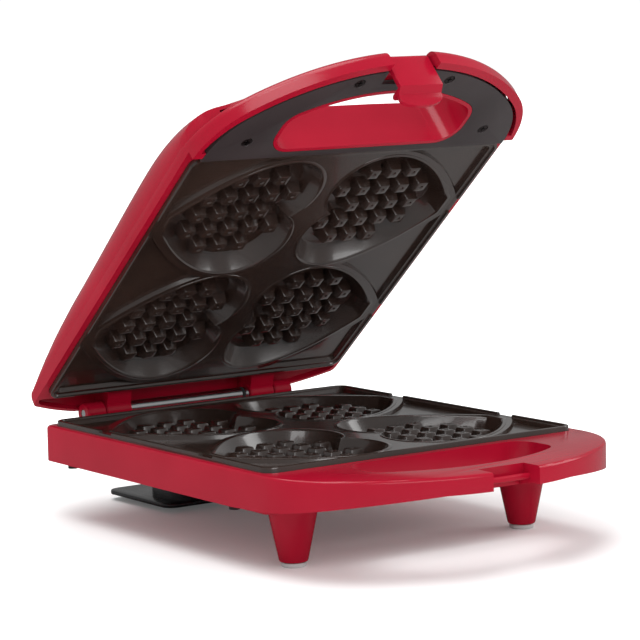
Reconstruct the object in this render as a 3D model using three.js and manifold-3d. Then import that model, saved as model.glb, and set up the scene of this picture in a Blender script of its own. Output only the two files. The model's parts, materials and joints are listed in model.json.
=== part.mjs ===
// Electric heart waffle maker: a hinged pair of non-stick plates in red housings.
// Millimetres, +Z up. Inside each half the working frame is the closed machine: x across, y = 0 at
// the plates' back edge with the handle towards -y, z = 0 on the table. The lid group is then turned
// about the hinge axis to its open rest angle.

import * as THREE from "three";
import { mergeVertices } from "three/addons/utils/BufferGeometryUtils.js";
import Module from "manifold-3d";

const wasm = await Module();
wasm.setup();

// ---------------------------------------------------------------- driving dimensions

const GAP = 0.3; // between pieces that touch
const WALL = 2.5; // housing wall
const PAST = 1; // how far a cutting body runs past what it cuts

const PLATE_WIDTH = 228;
const PLATE_DEPTH = 241;
const PARTING_Z = 62.5; // where the two plates' rims meet
const PLATE_THICK = 4;
const PLATE_CORNER = 8;
const RIM_WIDTH = 2.5;
const RIM_HEIGHT = 1.5; // rim above the land
const CAVITY_DEPTH = 11.4; // below the land
const CAVITY_DRAFT = 7; // how far the cavity wall leans in by its floor
const CAVITY_FLOOR = 3; // metal under the cavity

const CURVE_STEPS = 3; // facets in each curve of a heart
const HEART_SPACING = 113; // between the centre lines of the two hearts on one side
const HEART_HALF_WIDTH = 54.5;
const HEART_LOBE_X = 5.5; // lobes' nearest reach to the middle of the plate
const HEART_NOTCH_X = 16;
const HEART_CROWN_X = 37; // where a heart is widest
const HEART_TIP_X = 104;
const HEART_TIP_HALF = 7.5;
const HEART_FLANK = 26.5; // fullness of the flank on its way to the tip
const STICK_WIDTH = 14.5;

const PEG_PITCH_X = 15.2;
const PEG_PITCH_Y = 16.1;
const PEG_FIRST_X = 19;
const PEG_ROWS = 3; // rows on each side of a heart's centre line, at most
const PEG_COLUMNS = 6;
const PEG_HEIGHT = 8;
const PEG_TOP = 7.6;
const PEG_BASE = 11;

const SIDE_MARGIN = 5; // housing beyond the plate, each side
const BACK_MARGIN = 5; // housing beyond the plate, at the back
const BACK_CORNER = 8;
const HANDLE_REACH = 84; // handle's front beyond the plate
const HANDLE_BULGE = 31; // radius of the handle's front beyond the machine's half width
const HANDLE_CORNER = 60;
const HANDLE_BAND = 28; // width of the grip
const OPENING_HALF = 67;
const OPENING_SETBACK = 6; // hand opening's straight edge beyond the plate, in the base
const LID_OPENING_SETBACK = 8.5;
const OPENING_CORNER = 13;

const PLATE_PROUD = 3.1; // rims above the base housing's flange
const BASE_GRIP_THICK = 10.7;
const GRIP_SPACE = 1.7; // between the two grips
const SEAT_THICK = 2.7; // ledge that carries a plate's edge
const SEAT_WIDTH = 4;
const TAB_THICK = 2.5; // tab that takes a plate screw
const TAB_HALF = 6;
const AIR_SPACE = 4; // under the base's reflector

const LID_LIP = 4; // lid's lower edge above the parting plane
const LID_GRIP_TOP = 10.7; // above the parting plane
const LID_BACK = 11; // lid's back corners behind the plates
const LID_BACK_TOP = 6.5; // lid's back edge above the parting plane
const LID_RISE = 34.5; // crest near the back, above the parting plane
const LID_TOP = 39; // highest crest, above the parting plane
const LID_SHOULDER = 24; // width of the lid's rounded shoulder
const LID_CROWN = 2; // rise of the roof between its shoulders
const LID_BOW = 17; // how far the lid's back bows out over the hinge
const LID_BOW_HALF = 50; // half width of the bow's straight part
const LID_CORNER = 4.5;
const GRIP_ROUND = 6; // rounding of the lid grip's outer top edge

const HINGE_BACK = 19; // axis behind the plates
const HINGE_DOWN = 1.7; // axis below the parting plane
const OPEN_ANGLE = 41.2; // degrees, at rest
const ROD_R = 2.5;
const KNUCKLE_R = 7;
const TUBE_R = 5;
const LID_KNUCKLE = [47, 66]; // stations of the lid's knuckles, each side
const BASE_KNUCKLE_WIDTH = 14;
const RING_X = 42;
const RING_WIDTH = 2;

const LATCH_WIDTH = 31;
const LATCH_SIDE_SPACE = 1.4; // beside the latch
const LATCH_THICK = 3;
const LATCH_FACE = 6; // outer face before the pivot
const LATCH_SETBACK = 13; // pivot behind the handle's front
const LATCH_PIVOT_UP = 6.5; // pivot above the parting plane
const LATCH_ROOM = 6.2; // free space behind the pivot
const LATCH_PIN_R = 1.5;
const LATCH_PIN_SEAT = 5.5; // pin's length in the lid, each end
const LATCH_HUB_R = 3.2;
const LATCH_STEP = 4.5; // tab behind the face
const LATCH_TAB = 7; // length of the tab at its middle
const LATCH_TAB_LEAN = 2.3;
const HOOK_THICK = 2.4;
const HOOK_REACH = 3.2; // bead's centre behind the pivot
const BEAD_R = 1.8;
const CATCH_R = 1.8;
const CATCH_DOWN = 10.1; // catch bar's centre below the parting plane
const CATCH_FACE_GAP = 0.3; // between the latch's face and the bar
const RECESS_DEPTH = 15.5; // latch recess in the base's grip
const POCKET_DEPTH = 19.5; // deeper, under the bar's level

const FOOT_X = 85.5;
const FOOT_FORWARD = 17; // foot behind the plates' front edge
const FOOT_TOP_R = 16;
const FOOT_END_R = 8.5;
const PAD_R = 7.4;
const PAD_HEIGHT = 4;
const REAR_PAD_R = 7;
const REAR_PAD_X = 40;
const REAR_PAD_Y = -10;

const BELLY_HALF = 85;
const BELLY_FRONT = 4; // belly's front behind the plates' front edge
const BELLY_CORNER = 18;
const COVER_THICK = 2.5;
const COVER_SCREW_SIDE = 6; // from the housing's side
const COVER_SCREW_REAR = 22; // from the plates' back edge
const COVER_SCREW_FRONT = 36; // from the plates' front edge
const COVER_POST_R = 4;

const CLEAT_HALF = 57;
const CLEAT_BACK = 33; // behind the plates
const CLEAT_FRONT = 44;
const CLEAT_CORNER = 9;
const CLEAT_THICK = 3;
const CLEAT_Z = 3.5;
const CLEAT_POST_HALF = 47;
const CLEAT_POST_FRONT = 40;
const CLEAT_POST_BACK = 2;
const CLEAT_POST_CORNER = 10;

const HEATER_R = 3.3;
const HEATER_HALF = 58; // half width of the element's loop
const HEATER_END_X = 10;
const HEATER_END = 42; // element's ends from the plates' back edge
const REFLECTOR_THICK = 1;
const REFLECTOR_SPACE = 0.9; // between a casting's bosses and the reflector
const REFLECTOR_SIDE = 9; // flange from the plates' edges
const REFLECTOR_FRONT_MARGIN = 8;
const REFLECTOR_BACK_MARGIN = 20;
const PAN_HALF = 78;
const PAN_BACK = 36; // pan from the plates' back edge
const PAN_FRONT = 42;
const PAN_SPACE = 0.7; // behind the element
const PLATE_POST_R = 5;
const PLATE_POST_SIDE = 16; // from the plates' sides
const PLATE_POST_REAR = 40;
const PLATE_POST_FRONT = 16;

const GRIP_COVER_THICK = 3;
const GRIP_COVER_INSET = 7; // from the handle's outline
const GRIP_SCREW_X = 32.8; // the two beside the latch
const GRIP_SCREW_SIDE = 31.5; // the outer two, from the housing's sides
const GRIP_SCREW_FORWARD = 16.8; // the outer two, before the plates
const GRIP_POST_R = 4;
const SCREW_R = 1.5;
const SCREW_HEAD_R = 3.3;
const SCREW_HEAD = 2;
const SCREW_CLEARANCE = 0.3;
const SCREW_BITE = 3; // least depth of a screw in its post
const GRIP_SCREW_HEAD = 1; // depth of a grip screw's head

const LENS_R = 3.5;
const LENS_X = 9;
const LENS_Y = -70;
const LENS_DEPTH = 3;
const LENS_PROUD = 1.4;

const THERMOSTAT_R = 8;
const THERMOSTAT_HEIGHT = 7;
const FUSE_R = 2.2;
const FUSE_LENGTH = 12;
const TERMINAL = [30, 12, 9]; // width, depth and height of the terminal block
const TERMINAL_Y = -12;
const GLAND_R = 5;
const GLAND_BORE_R = 3.4;
const GLAND_COLLAR_R = 7;
const GLAND_COLLAR = 2.5;
const GLAND_LENGTH = 6;
const GLAND_UP = 9; // above the skirt's edge

// ---------------------------------------------------------------- derived places

const HALF_WIDTH = PLATE_WIDTH / 2 + SIDE_MARGIN;
const HANDLE_ARC = HALF_WIDTH + HANDLE_BULGE;
const FRONT_Y = -PLATE_DEPTH;
const APEX_Y = FRONT_Y - HANDLE_REACH;
const ARC_Y = APEX_Y + HANDLE_ARC; // centre of the handle's arcs
const MIDDLE_Y = FRONT_Y / 2;
const HEART_YS = [MIDDLE_Y + HEART_SPACING / 2, MIDDLE_Y - HEART_SPACING / 2];

// Plate frame: z = 0 at the parting plane, metal below.
const LAND = -RIM_HEIGHT;
const SLAB_BACK = LAND - PLATE_THICK;
const CAVITY_BOTTOM = LAND - CAVITY_DEPTH;
const BOSS_BACK = CAVITY_BOTTOM - CAVITY_FLOOR;
const HEATER_Z = BOSS_BACK - GAP - HEATER_R;
const REFLECTOR_FACE = BOSS_BACK - REFLECTOR_SPACE;
const PAN_FLOOR = HEATER_Z - HEATER_R - PAN_SPACE - REFLECTOR_THICK;
const TAB_FACE = REFLECTOR_FACE - REFLECTOR_THICK - GAP;
const TAB_BACK = TAB_FACE - TAB_THICK;
const PLATE_SCREW_TOP = TAB_BACK - GAP; // seat of a plate screw's head
const POST_X = PLATE_WIDTH / 2 - PLATE_POST_SIDE;
const POST_YS = [-PLATE_POST_REAR, FRONT_Y + PLATE_POST_FRONT];
const POST_REACH = SLAB_BACK - PAST; // how far a thread runs into its post

const BASE_TOP = PARTING_Z - PLATE_PROUD;
const COVER_TOP = PARTING_Z + PLATE_SCREW_TOP - SCREW_HEAD - 2 * GAP;
const COVER_UNDER = COVER_TOP - COVER_THICK;
const SKIRT_Z = COVER_UNDER + 0.5; // the cover's face stands a little below the skirt
const BELLY_Z = PARTING_Z + PAN_FLOOR - AIR_SPACE - WALL;
const GLAND_Z = SKIRT_Z + GLAND_UP;
const COVER_SCREW_X = HALF_WIDTH - COVER_SCREW_SIDE;
const COVER_SCREW_YS = [-COVER_SCREW_REAR, FRONT_Y + COVER_SCREW_FRONT];

const LIP_Z = PARTING_Z + LID_LIP;
const LID_PLATE_Z = PARTING_Z + GAP; // parting plane of the lid's own plate
const GRIP_TOP_Z = PARTING_Z + LID_GRIP_TOP;
const GRIP_FACE_Z = BASE_TOP + GRIP_SPACE;
const GRIP_COVER_BACK = GRIP_FACE_Z + GRIP_COVER_THICK;
const LID_CEILING = PARTING_Z + LID_TOP + LID_CROWN + PAST;
const HINGE = new THREE.Vector3(0, HINGE_BACK, PARTING_Z - HINGE_DOWN);
const BASE_KNUCKLE = [LID_KNUCKLE[1] + 2 * GAP, LID_KNUCKLE[1] + 2 * GAP + BASE_KNUCKLE_WIDTH];

const LATCH_Y = APEX_Y + LATCH_SETBACK;
const LATCH_Z = PARTING_Z + LATCH_PIVOT_UP;
const NOTCH_HALF = LATCH_WIDTH / 2 + LATCH_SIDE_SPACE;
const CATCH_Y = LATCH_Y - LATCH_FACE + LATCH_THICK + CATCH_FACE_GAP + CATCH_R;
const CATCH_Z = PARTING_Z - CATCH_DOWN;
const HOOK_TOP = CATCH_Z - CATCH_R - GAP - LATCH_Z; // from the pivot

const GRIP_SCREWS = [
  [HALF_WIDTH - GRIP_SCREW_SIDE, FRONT_Y - GRIP_SCREW_FORWARD],
  [GRIP_SCREW_X, ARC_Y - Math.sqrt((HANDLE_ARC - HANDLE_BAND / 2) ** 2 - GRIP_SCREW_X ** 2)],
];

// ---------------------------------------------------------------- materials

const material = (color, roughness, metalness) =>
  new THREE.MeshStandardMaterial({ color, roughness, metalness });

const redPlastic = () => material(0xb0182a, 0.22, 0);
const darkPlastic = () => material(0x2c2526, 0.5, 0);
const blackPlastic = () => material(0x17171a, 0.45, 0);
const nonStick = () => material(0x3a3333, 0.42, 0.35);
const steel = () => material(0xb8bbbf, 0.28, 1);
const sheet = () => material(0xa9acb0, 0.35, 1);
const elementSteel = () => material(0x6c6a66, 0.5, 1);
const ceramic = () => material(0xe6e2d8, 0.6, 0);
const translucentRubber = () => material(0xe9e7e2, 0.6, 0);
const rubber = () => material(0x1b1b1b, 0.8, 0);
const amberLens = () => material(0xe0832a, 0.2, 0);
const greenLens = () => material(0x3fa24f, 0.2, 0);

// ---------------------------------------------------------------- solids

// A closed three.js geometry as a manifold solid.
function solid(geometry) {
  const bare = geometry.clone();
  bare.deleteAttribute("normal");
  bare.deleteAttribute("uv");
  const merged = mergeVertices(bare, 1e-4);
  return new wasm.Manifold(
    new wasm.Mesh({
      numProp: 3,
      vertProperties: new Float32Array(merged.attributes.position.array),
      triVerts: new Uint32Array(merged.index.array),
    }),
  );
}

// A manifold solid as a three.js geometry with flat faces.
function geometryOf(body) {
  const mesh = body.getMesh();
  const geometry = new THREE.BufferGeometry();
  geometry.setAttribute("position", new THREE.BufferAttribute(mesh.vertProperties, 3));
  geometry.setIndex(new THREE.BufferAttribute(mesh.triVerts, 1));
  const flat = geometry.toNonIndexed();
  flat.computeVertexNormals();
  return flat;
}

const join = (bodies) => bodies.reduce((all, body) => all.add(body));
const cut = (body, tools) => tools.reduce((left, tool) => left.subtract(tool), body);

// An upright prism of a plan shape, from one height to another.
function prism(shape, bottom, top, curveSegments = 4) {
  const geometry = new THREE.ExtrudeGeometry(shape, {
    depth: top - bottom,
    bevelEnabled: false,
    curveSegments,
  });
  return solid(geometry.translate(0, 0, bottom));
}

// A prism along X of a shape drawn with y across and z up.
function prismAcross(shape, from, to, curveSegments = 4) {
  const geometry = new THREE.ExtrudeGeometry(shape, {
    depth: to - from,
    bevelEnabled: false,
    curveSegments,
  });
  const axes = new THREE.Matrix4().makeBasis(
    new THREE.Vector3(0, 1, 0),
    new THREE.Vector3(0, 0, 1),
    new THREE.Vector3(1, 0, 0),
  );
  return solid(geometry.applyMatrix4(axes).translate(from, 0, 0));
}

// A prism along Y of a shape drawn with x across and z up.
function prismForward(shape, back, front, curveSegments = 4) {
  const geometry = new THREE.ExtrudeGeometry(shape, {
    depth: back - front,
    bevelEnabled: false,
    curveSegments,
  });
  return solid(geometry.rotateX(Math.PI / 2).translate(0, back, 0));
}

function block(x0, x1, y0, y1, z0, z1) {
  const geometry = new THREE.BoxGeometry(x1 - x0, y1 - y0, z1 - z0);
  return solid(geometry.translate((x0 + x1) / 2, (y0 + y1) / 2, (z0 + z1) / 2));
}

function upright(radius, x, y, bottom, top, sides = 16, topRadius = radius) {
  const geometry = new THREE.CylinderGeometry(topRadius, radius, top - bottom, sides);
  return solid(geometry.rotateX(Math.PI / 2).translate(x, y, (bottom + top) / 2));
}

function crosswise(radius, from, to, y, z, sides = 20) {
  const geometry = new THREE.CylinderGeometry(radius, radius, to - from, sides);
  return solid(geometry.rotateZ(Math.PI / 2).translate((from + to) / 2, y, z));
}

function lengthwise(radius, x, front, back, z, sides = 16) {
  const geometry = new THREE.CylinderGeometry(radius, radius, back - front, sides);
  return solid(geometry.translate(x, (front + back) / 2, z));
}

// ---------------------------------------------------------------- outlines

function roundedRectangle(x0, x1, y0, y1, r) {
  const shape = new THREE.Shape();
  shape.moveTo(x0 + r, y0);
  shape.lineTo(x1 - r, y0);
  shape.absarc(x1 - r, y0 + r, r, -Math.PI / 2, 0);
  shape.lineTo(x1, y1 - r);
  shape.absarc(x1 - r, y1 - r, r, 0, Math.PI / 2);
  shape.lineTo(x0 + r, y1);
  shape.absarc(x0 + r, y1 - r, r, Math.PI / 2, Math.PI);
  shape.lineTo(x0, y0 + r);
  shape.absarc(x0 + r, y0 + r, r, Math.PI, 1.5 * Math.PI);
  return shape;
}

// How far the lid's back stands behind its corners, at a station across the machine.
function backBow(x) {
  const share = Math.max(Math.abs(x) - LID_BOW_HALF, 0) / (HALF_WIDTH - LID_BOW_HALF);
  return LID_BOW * (1 - share ** 2);
}

function baseBack(shape, inset) {
  const half = HALF_WIDTH - inset;
  const back = BACK_MARGIN - inset;
  const corner = BACK_CORNER - inset;
  shape.lineTo(half, back - corner);
  shape.absarc(half - corner, back - corner, corner, 0, Math.PI / 2);
  shape.lineTo(corner - half, back);
  shape.absarc(corner - half, back - corner, corner, Math.PI / 2, Math.PI);
}

function lidBack(shape, inset) {
  const half = HALF_WIDTH - inset;
  const back = LID_BACK - inset;
  const near = half - LID_CORNER;
  const steps = 12;
  shape.lineTo(half, back - LID_CORNER);
  shape.quadraticCurveTo(half, back + PAST, near, back + backBow(near));
  for (let i = 1; i < steps; i += 1) {
    const x = near - (2 * near * i) / steps;
    shape.lineTo(x, back + backBow(x));
  }
  shape.lineTo(-near, back + backBow(near));
  shape.quadraticCurveTo(-half, back + PAST, -half, back - LID_CORNER);
}

// The body with its bowed handle, drawn in from the real outline by an inset, and by more in front.
function housingOutline(inset, drawBack, frontInset = 0) {
  const half = HALF_WIDTH - inset;
  const arc = HANDLE_ARC - inset - frontInset;
  const corner = HANDLE_CORNER - inset;
  const cornerX = half - corner;
  const cornerY = ARC_Y - Math.sqrt((arc - corner) ** 2 - cornerX ** 2);
  const turn = Math.atan2(cornerY - ARC_Y, cornerX);
  const shape = new THREE.Shape();
  shape.moveTo(half, cornerY);
  drawBack(shape, inset);
  shape.lineTo(-half, cornerY);
  shape.absarc(-cornerX, cornerY, corner, Math.PI, Math.PI - turn);
  shape.absarc(0, ARC_Y, arc, -Math.PI - turn, turn);
  shape.absarc(cornerX, cornerY, corner, turn, 0);
  return shape;
}

// An outline's points, each one once.
function cornersOf(shape) {
  const points = shape.getPoints(4);
  return points.filter((p, i) => p.distanceTo(points.at(i - 1)) > 1e-6);
}

// The hand opening behind a setback from the plates, grown by an amount on every side.
function openingOutline(setback, grow) {
  const half = OPENING_HALF + grow;
  const back = FRONT_Y - setback + grow;
  const arc = HANDLE_ARC - HANDLE_BAND + grow;
  const corner = OPENING_CORNER + grow;
  const cornerX = half - corner;
  const cornerY = ARC_Y - Math.sqrt((arc - corner) ** 2 - cornerX ** 2);
  const turn = Math.atan2(cornerY - ARC_Y, cornerX);
  const backCornerY = back - corner;
  const shape = new THREE.Shape();
  shape.moveTo(half, Math.min(cornerY, backCornerY));
  shape.lineTo(half, backCornerY);
  shape.absarc(cornerX, backCornerY, corner, 0, Math.PI / 2);
  shape.lineTo(-cornerX, back);
  shape.absarc(-cornerX, backCornerY, corner, Math.PI / 2, Math.PI);
  shape.lineTo(-half, Math.min(cornerY, backCornerY));
  shape.absarc(-cornerX, cornerY, corner, Math.PI, Math.PI - turn);
  shape.absarc(0, ARC_Y, arc, -Math.PI - turn, turn);
  shape.absarc(cornerX, cornerY, corner, turn, 0);
  return shape;
}

// Half of a heart is three curves: out of the notch, round the lobe, then down to the blunt tip.
// Points run round the heart that points to +x, grown by an amount.
function heartPoints(grow, centreY) {
  const lobe = HEART_LOBE_X - grow;
  const crown = HEART_HALF_WIDTH + grow;
  const tip = HEART_TIP_X + grow;
  const tipHalf = HEART_TIP_HALF + grow / 2;
  const notch = HEART_NOTCH_X - grow / 2;
  const point = (x, y) => new THREE.Vector2(x, y);
  const out = point(notch, 0);
  const lobeEnd = point(lobe, crown * 0.42);
  const widest = point(HEART_CROWN_X, crown);
  const end = point(tip, tipHalf);
  const curves = [
    new THREE.CubicBezierCurve(
      out,
      point((notch + lobe) / 2, crown * 0.06),
      point(lobe, crown * 0.2),
      lobeEnd,
    ),
    new THREE.CubicBezierCurve(
      lobeEnd,
      point(lobe, crown * 0.78),
      point((lobe + HEART_CROWN_X) / 2, crown),
      widest,
    ),
    new THREE.CubicBezierCurve(
      widest,
      point(HEART_CROWN_X + 23, crown),
      point(tip - 20, tipHalf + HEART_FLANK),
      end,
    ),
  ];
  const upper = curves.flatMap((curve, i) => curve.getPoints(CURVE_STEPS).slice(i === 0 ? 0 : 1));
  const lower = upper
    .slice(1)
    .reverse()
    .map((p) => point(p.x, -p.y));
  return [...upper, ...lower].reverse().map((p) => point(p.x, p.y + centreY));
}

// A closed body through rings of equally many points. Seen from beyond the last ring, each ring runs
// anticlockwise, and flat gives a ring's point in that view.
function skin(rings, flat) {
  const count = rings[0].length;
  const last = (rings.length - 1) * count;
  const positions = rings.flat().flatMap((p) => [p.x, p.y, p.z]);
  const cap = (ring) => THREE.ShapeUtils.triangulateShape(ring.map(flat), []);
  const faces = [];
  cap(rings[0]).forEach(([a, b, c]) => faces.push(c, b, a));
  cap(rings.at(-1)).forEach(([a, b, c]) => faces.push(a + last, b + last, c + last));
  for (let i = 0; i < last; i += count) {
    for (let j = 0; j < count; j += 1) {
      const a = i + j;
      const b = i + ((j + 1) % count);
      faces.push(a, b, b + count, a, b + count, a + count);
    }
  }
  const geometry = new THREE.BufferGeometry();
  geometry.setAttribute("position", new THREE.Float32BufferAttribute(positions, 3));
  geometry.setIndex(faces);
  return solid(geometry);
}

// A body between two plan outlines of equally many points, the lower one first.
function loft(lower, upper, bottom, top) {
  const ring = (points, z) => points.map((p) => new THREE.Vector3(p.x, p.y, z));
  return skin([ring(lower, bottom), ring(upper, top)], (p) => new THREE.Vector2(p.x, p.y));
}

function insideOutline(points, x, y) {
  let inside = false;
  points.forEach((a, i) => {
    const b = points[(i + 1) % points.length];
    if (a.y > y !== b.y > y && x < ((b.x - a.x) * (y - a.y)) / (b.y - a.y) + a.x) {
      inside = !inside;
    }
  });
  return inside;
}

// ---------------------------------------------------------------- cooking plates
// Built for the base, with the parting plane at z = 0; the lid's is the same casting turned over.

function heartCavity(side, centreY) {
  const rim = heartPoints(0, centreY);
  const floor = heartPoints(-CAVITY_DRAFT, centreY);
  const well = loft(floor, rim, CAVITY_BOTTOM, LAND + 0.01);
  const pegs = [];
  const bases = heartPoints(-CAVITY_DRAFT - PEG_BASE / 3, centreY);
  for (let row = -PEG_ROWS; row <= PEG_ROWS; row += 1) {
    for (let column = 0; column < PEG_COLUMNS; column += 1) {
      const x = PEG_FIRST_X + column * PEG_PITCH_X;
      const y = centreY + row * PEG_PITCH_Y;
      if (insideOutline(bases, x, y)) pegs.push(squarePeg(x, y));
    }
  }
  const hollow = cut(well, pegs);
  return side > 0 ? hollow : hollow.mirror([1, 0, 0]);
}

function squarePeg(x, y) {
  const root = 0.5; // sunk into the cavity's floor
  const height = PEG_HEIGHT + root;
  const geometry = new THREE.CylinderGeometry(PEG_TOP * Math.SQRT1_2, PEG_BASE * Math.SQRT1_2, height, 4);
  geometry.rotateY(Math.PI / 4).rotateX(Math.PI / 2);
  return solid(geometry.translate(x, y, CAVITY_BOTTOM - root + height / 2));
}

function platePosts(radius, bottom, top, facets = 12) {
  return [-1, 1].flatMap((side) =>
    POST_YS.map((y) => upright(radius, side * POST_X, y, bottom, top, facets)),
  );
}

// The plate's edge in plan, drawn in by an inset.
function plateOutline(inset, corner = PLATE_CORNER - inset) {
  const half = PLATE_WIDTH / 2 - inset;
  return roundedRectangle(-half, half, FRONT_Y + inset, -inset, corner);
}

function cookingPlate() {
  const half = PLATE_WIDTH / 2;
  const slab = prism(plateOutline(0), SLAB_BACK, 0, 2);
  const bowl = prism(plateOutline(RIM_WIDTH), LAND, PAST, 2);
  const bosses = [-1, 1].flatMap((side) =>
    HEART_YS.map((y) => {
      const outer = heartPoints(CAVITY_FLOOR - CAVITY_DRAFT, y);
      const root = heartPoints(CAVITY_FLOOR - 1, y);
      const boss = loft(outer, root, BOSS_BACK, SLAB_BACK + PAST);
      return side > 0 ? boss : boss.mirror([1, 0, 0]);
    }),
  );
  const wells = [-1, 1].flatMap((side) => HEART_YS.map((y) => heartCavity(side, y)));
  const slots = HEART_YS.map((y) =>
    block(-half - PAST, half + PAST, y - STICK_WIDTH / 2, y + STICK_WIDTH / 2, LAND, PAST),
  );
  const posts = platePosts(PLATE_POST_R, REFLECTOR_FACE + GAP, SLAB_BACK + PAST);
  const threads = platePosts(SCREW_R + SCREW_CLEARANCE, REFLECTOR_FACE, POST_REACH);
  return cut(join([slab, ...bosses, ...posts]), [bowl, ...slots, ...wells, ...threads]);
}

// The tubular element runs under all four hearts, with its two ends at the back.
function heater() {
  const near = HEART_YS[0] - 6;
  const far = HEART_YS[1] + 6;
  const half = [
    [HEATER_END_X, -HEATER_END],
    [HEATER_END_X + 1, near + 16],
    [HEATER_HALF / 2, near + 1],
    [HEATER_HALF - 8, near - 3],
    [HEATER_HALF, near - 20],
    [HEATER_HALF, far + 20],
    [HEATER_HALF - 10, far + 3],
    [HEATER_HALF / 2, far],
  ];
  const left = half.map(([x, y]) => new THREE.Vector3(-x, y, HEATER_Z)).reverse();
  const right = half.map(([x, y]) => new THREE.Vector3(x, y, HEATER_Z));
  const section = new THREE.Shape().absarc(0, 0, HEATER_R, 0, Math.PI * 2);
  const geometry = new THREE.ExtrudeGeometry(section, {
    extrudePath: new THREE.CatmullRomCurve3([...right, ...left]),
    steps: 32,
    curveSegments: 4,
  });
  return solid(geometry);
}

// A thin pan behind the element, held between the plate's posts and the housing's tabs.
function reflector() {
  const half = PLATE_WIDTH / 2 - REFLECTOR_SIDE;
  const pan = (inset, bottom, top) =>
    block(inset - PAN_HALF, PAN_HALF - inset, FRONT_Y + PAN_FRONT + inset, -PAN_BACK - inset, bottom, top);
  const flange = block(
    -half,
    half,
    FRONT_Y + REFLECTOR_FRONT_MARGIN,
    -REFLECTOR_BACK_MARGIN,
    REFLECTOR_FACE - REFLECTOR_THICK,
    REFLECTOR_FACE,
  );
  const body = flange.add(pan(0, PAN_FLOOR, REFLECTOR_FACE));
  const hollow = pan(REFLECTOR_THICK, PAN_FLOOR + REFLECTOR_THICK, REFLECTOR_FACE + PAST);
  const holes = platePosts(SCREW_R + SCREW_CLEARANCE, PAN_FLOOR, REFLECTOR_FACE + PAST);
  return cut(body, [hollow, ...holes]);
}

// A pan-head screw: its head hangs under the seat, or stands on it when the head points up.
function screw(x, y, seat, tip) {
  const up = Math.sign(tip - seat);
  const head = seat - up * SCREW_HEAD;
  const root = seat - up * GAP;
  const shank = upright(SCREW_R, x, y, Math.min(root, tip), Math.max(root, tip), 6);
  return shank.add(upright(SCREW_HEAD_R, x, y, Math.min(head, seat), Math.max(head, seat), 8));
}

const plateScrew = (side, y) => screw(side * POST_X, y, PLATE_SCREW_TOP, POST_REACH - GAP);

// ---------------------------------------------------------------- housings

// Rails that carry a plate, in the plate's frame: a ledge round its edge and a tab for each screw.
function plateSeat(face, setback) {
  const seat = SLAB_BACK - GAP;
  const foot = seat - SEAT_THICK;
  const sunk = 1; // rails run this far into the housing's walls
  const outer = roundedRectangle(
    sunk - HALF_WIDTH,
    HALF_WIDTH - sunk,
    FRONT_Y - setback + sunk,
    BACK_MARGIN - sunk,
    BACK_CORNER - sunk,
  );
  const ledge = cut(prism(outer, foot, face, 4), [
    prism(plateOutline(-GAP, PLATE_CORNER), seat, face + PAST, 4),
    prism(plateOutline(SEAT_WIDTH, PLATE_CORNER), foot - PAST, face + PAST, 4),
  ]);
  const holes = platePosts(SCREW_R + SCREW_CLEARANCE, TAB_BACK - PAST, TAB_FACE + PAST);
  const tabs = [-1, 1].flatMap((side) =>
    POST_YS.map((y) => {
      const near = side * (POST_X - TAB_HALF);
      const far = side * (HALF_WIDTH - sunk);
      const tab = block(
        Math.min(near, far),
        Math.max(near, far),
        y - TAB_HALF,
        y + TAB_HALF,
        TAB_BACK,
        TAB_FACE,
      );
      return cut(tab, holes);
    }),
  );
  return [ledge, ...tabs];
}

// A round body along the hinge axis between two stations, on one side of the machine.
function hingeBarrel(radius, side, [near, far], grow = 0) {
  const from = Math.min(side * near, side * far) - grow;
  const to = Math.max(side * near, side * far) + grow;
  return crosswise(radius, from, to, HINGE.y, HINGE.z);
}

// A web between two stations on one side, drawn with y across and z up.
function hingeWeb(points, side, [near, far]) {
  const shape = new THREE.Shape(points.map(([y, z]) => new THREE.Vector2(y, z)));
  return prismAcross(shape, Math.min(side * near, side * far), Math.max(side * near, side * far));
}

const rodBore = () => crosswise(ROD_R + GAP, -HALF_WIDTH, HALF_WIDTH, HINGE.y, HINGE.z, 16);

function coverPosts(radius, bottom, top, facets = 12) {
  return [-1, 1].flatMap((side) =>
    COVER_SCREW_YS.map((y) => upright(radius, side * COVER_SCREW_X, y, bottom, top, facets)),
  );
}

// Side view of the base: level skirt, sweeping up to the thinner grip.
function baseProfile() {
  const grip = BASE_TOP - BASE_GRIP_THICK;
  const bodyFront = FRONT_Y - OPENING_SETBACK;
  const shape = new THREE.Shape();
  shape.moveTo(BACK_MARGIN + PAST, SKIRT_Z);
  shape.lineTo(BACK_MARGIN + PAST, BASE_TOP);
  shape.lineTo(APEX_Y - PAST, BASE_TOP);
  shape.lineTo(APEX_Y - PAST, grip);
  shape.lineTo(APEX_Y + HANDLE_BAND + 10, grip);
  shape.quadraticCurveTo(bodyFront - 16, SKIRT_Z + 3, bodyFront, SKIRT_Z + 1.5);
  shape.lineTo(FRONT_Y + 30, SKIRT_Z);
  return shape;
}

// The recess for the latch, with a deeper pocket under the catch bar's level for the hook's bead.
function latchRecess() {
  const across = (depth, bottom, top) =>
    block(-NOTCH_HALF, NOTCH_HALF, APEX_Y - 5, APEX_Y + depth, bottom, top);
  return across(RECESS_DEPTH, SKIRT_Z, BASE_TOP + PAST).add(across(POCKET_DEPTH, SKIRT_Z, CATCH_Z));
}

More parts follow.
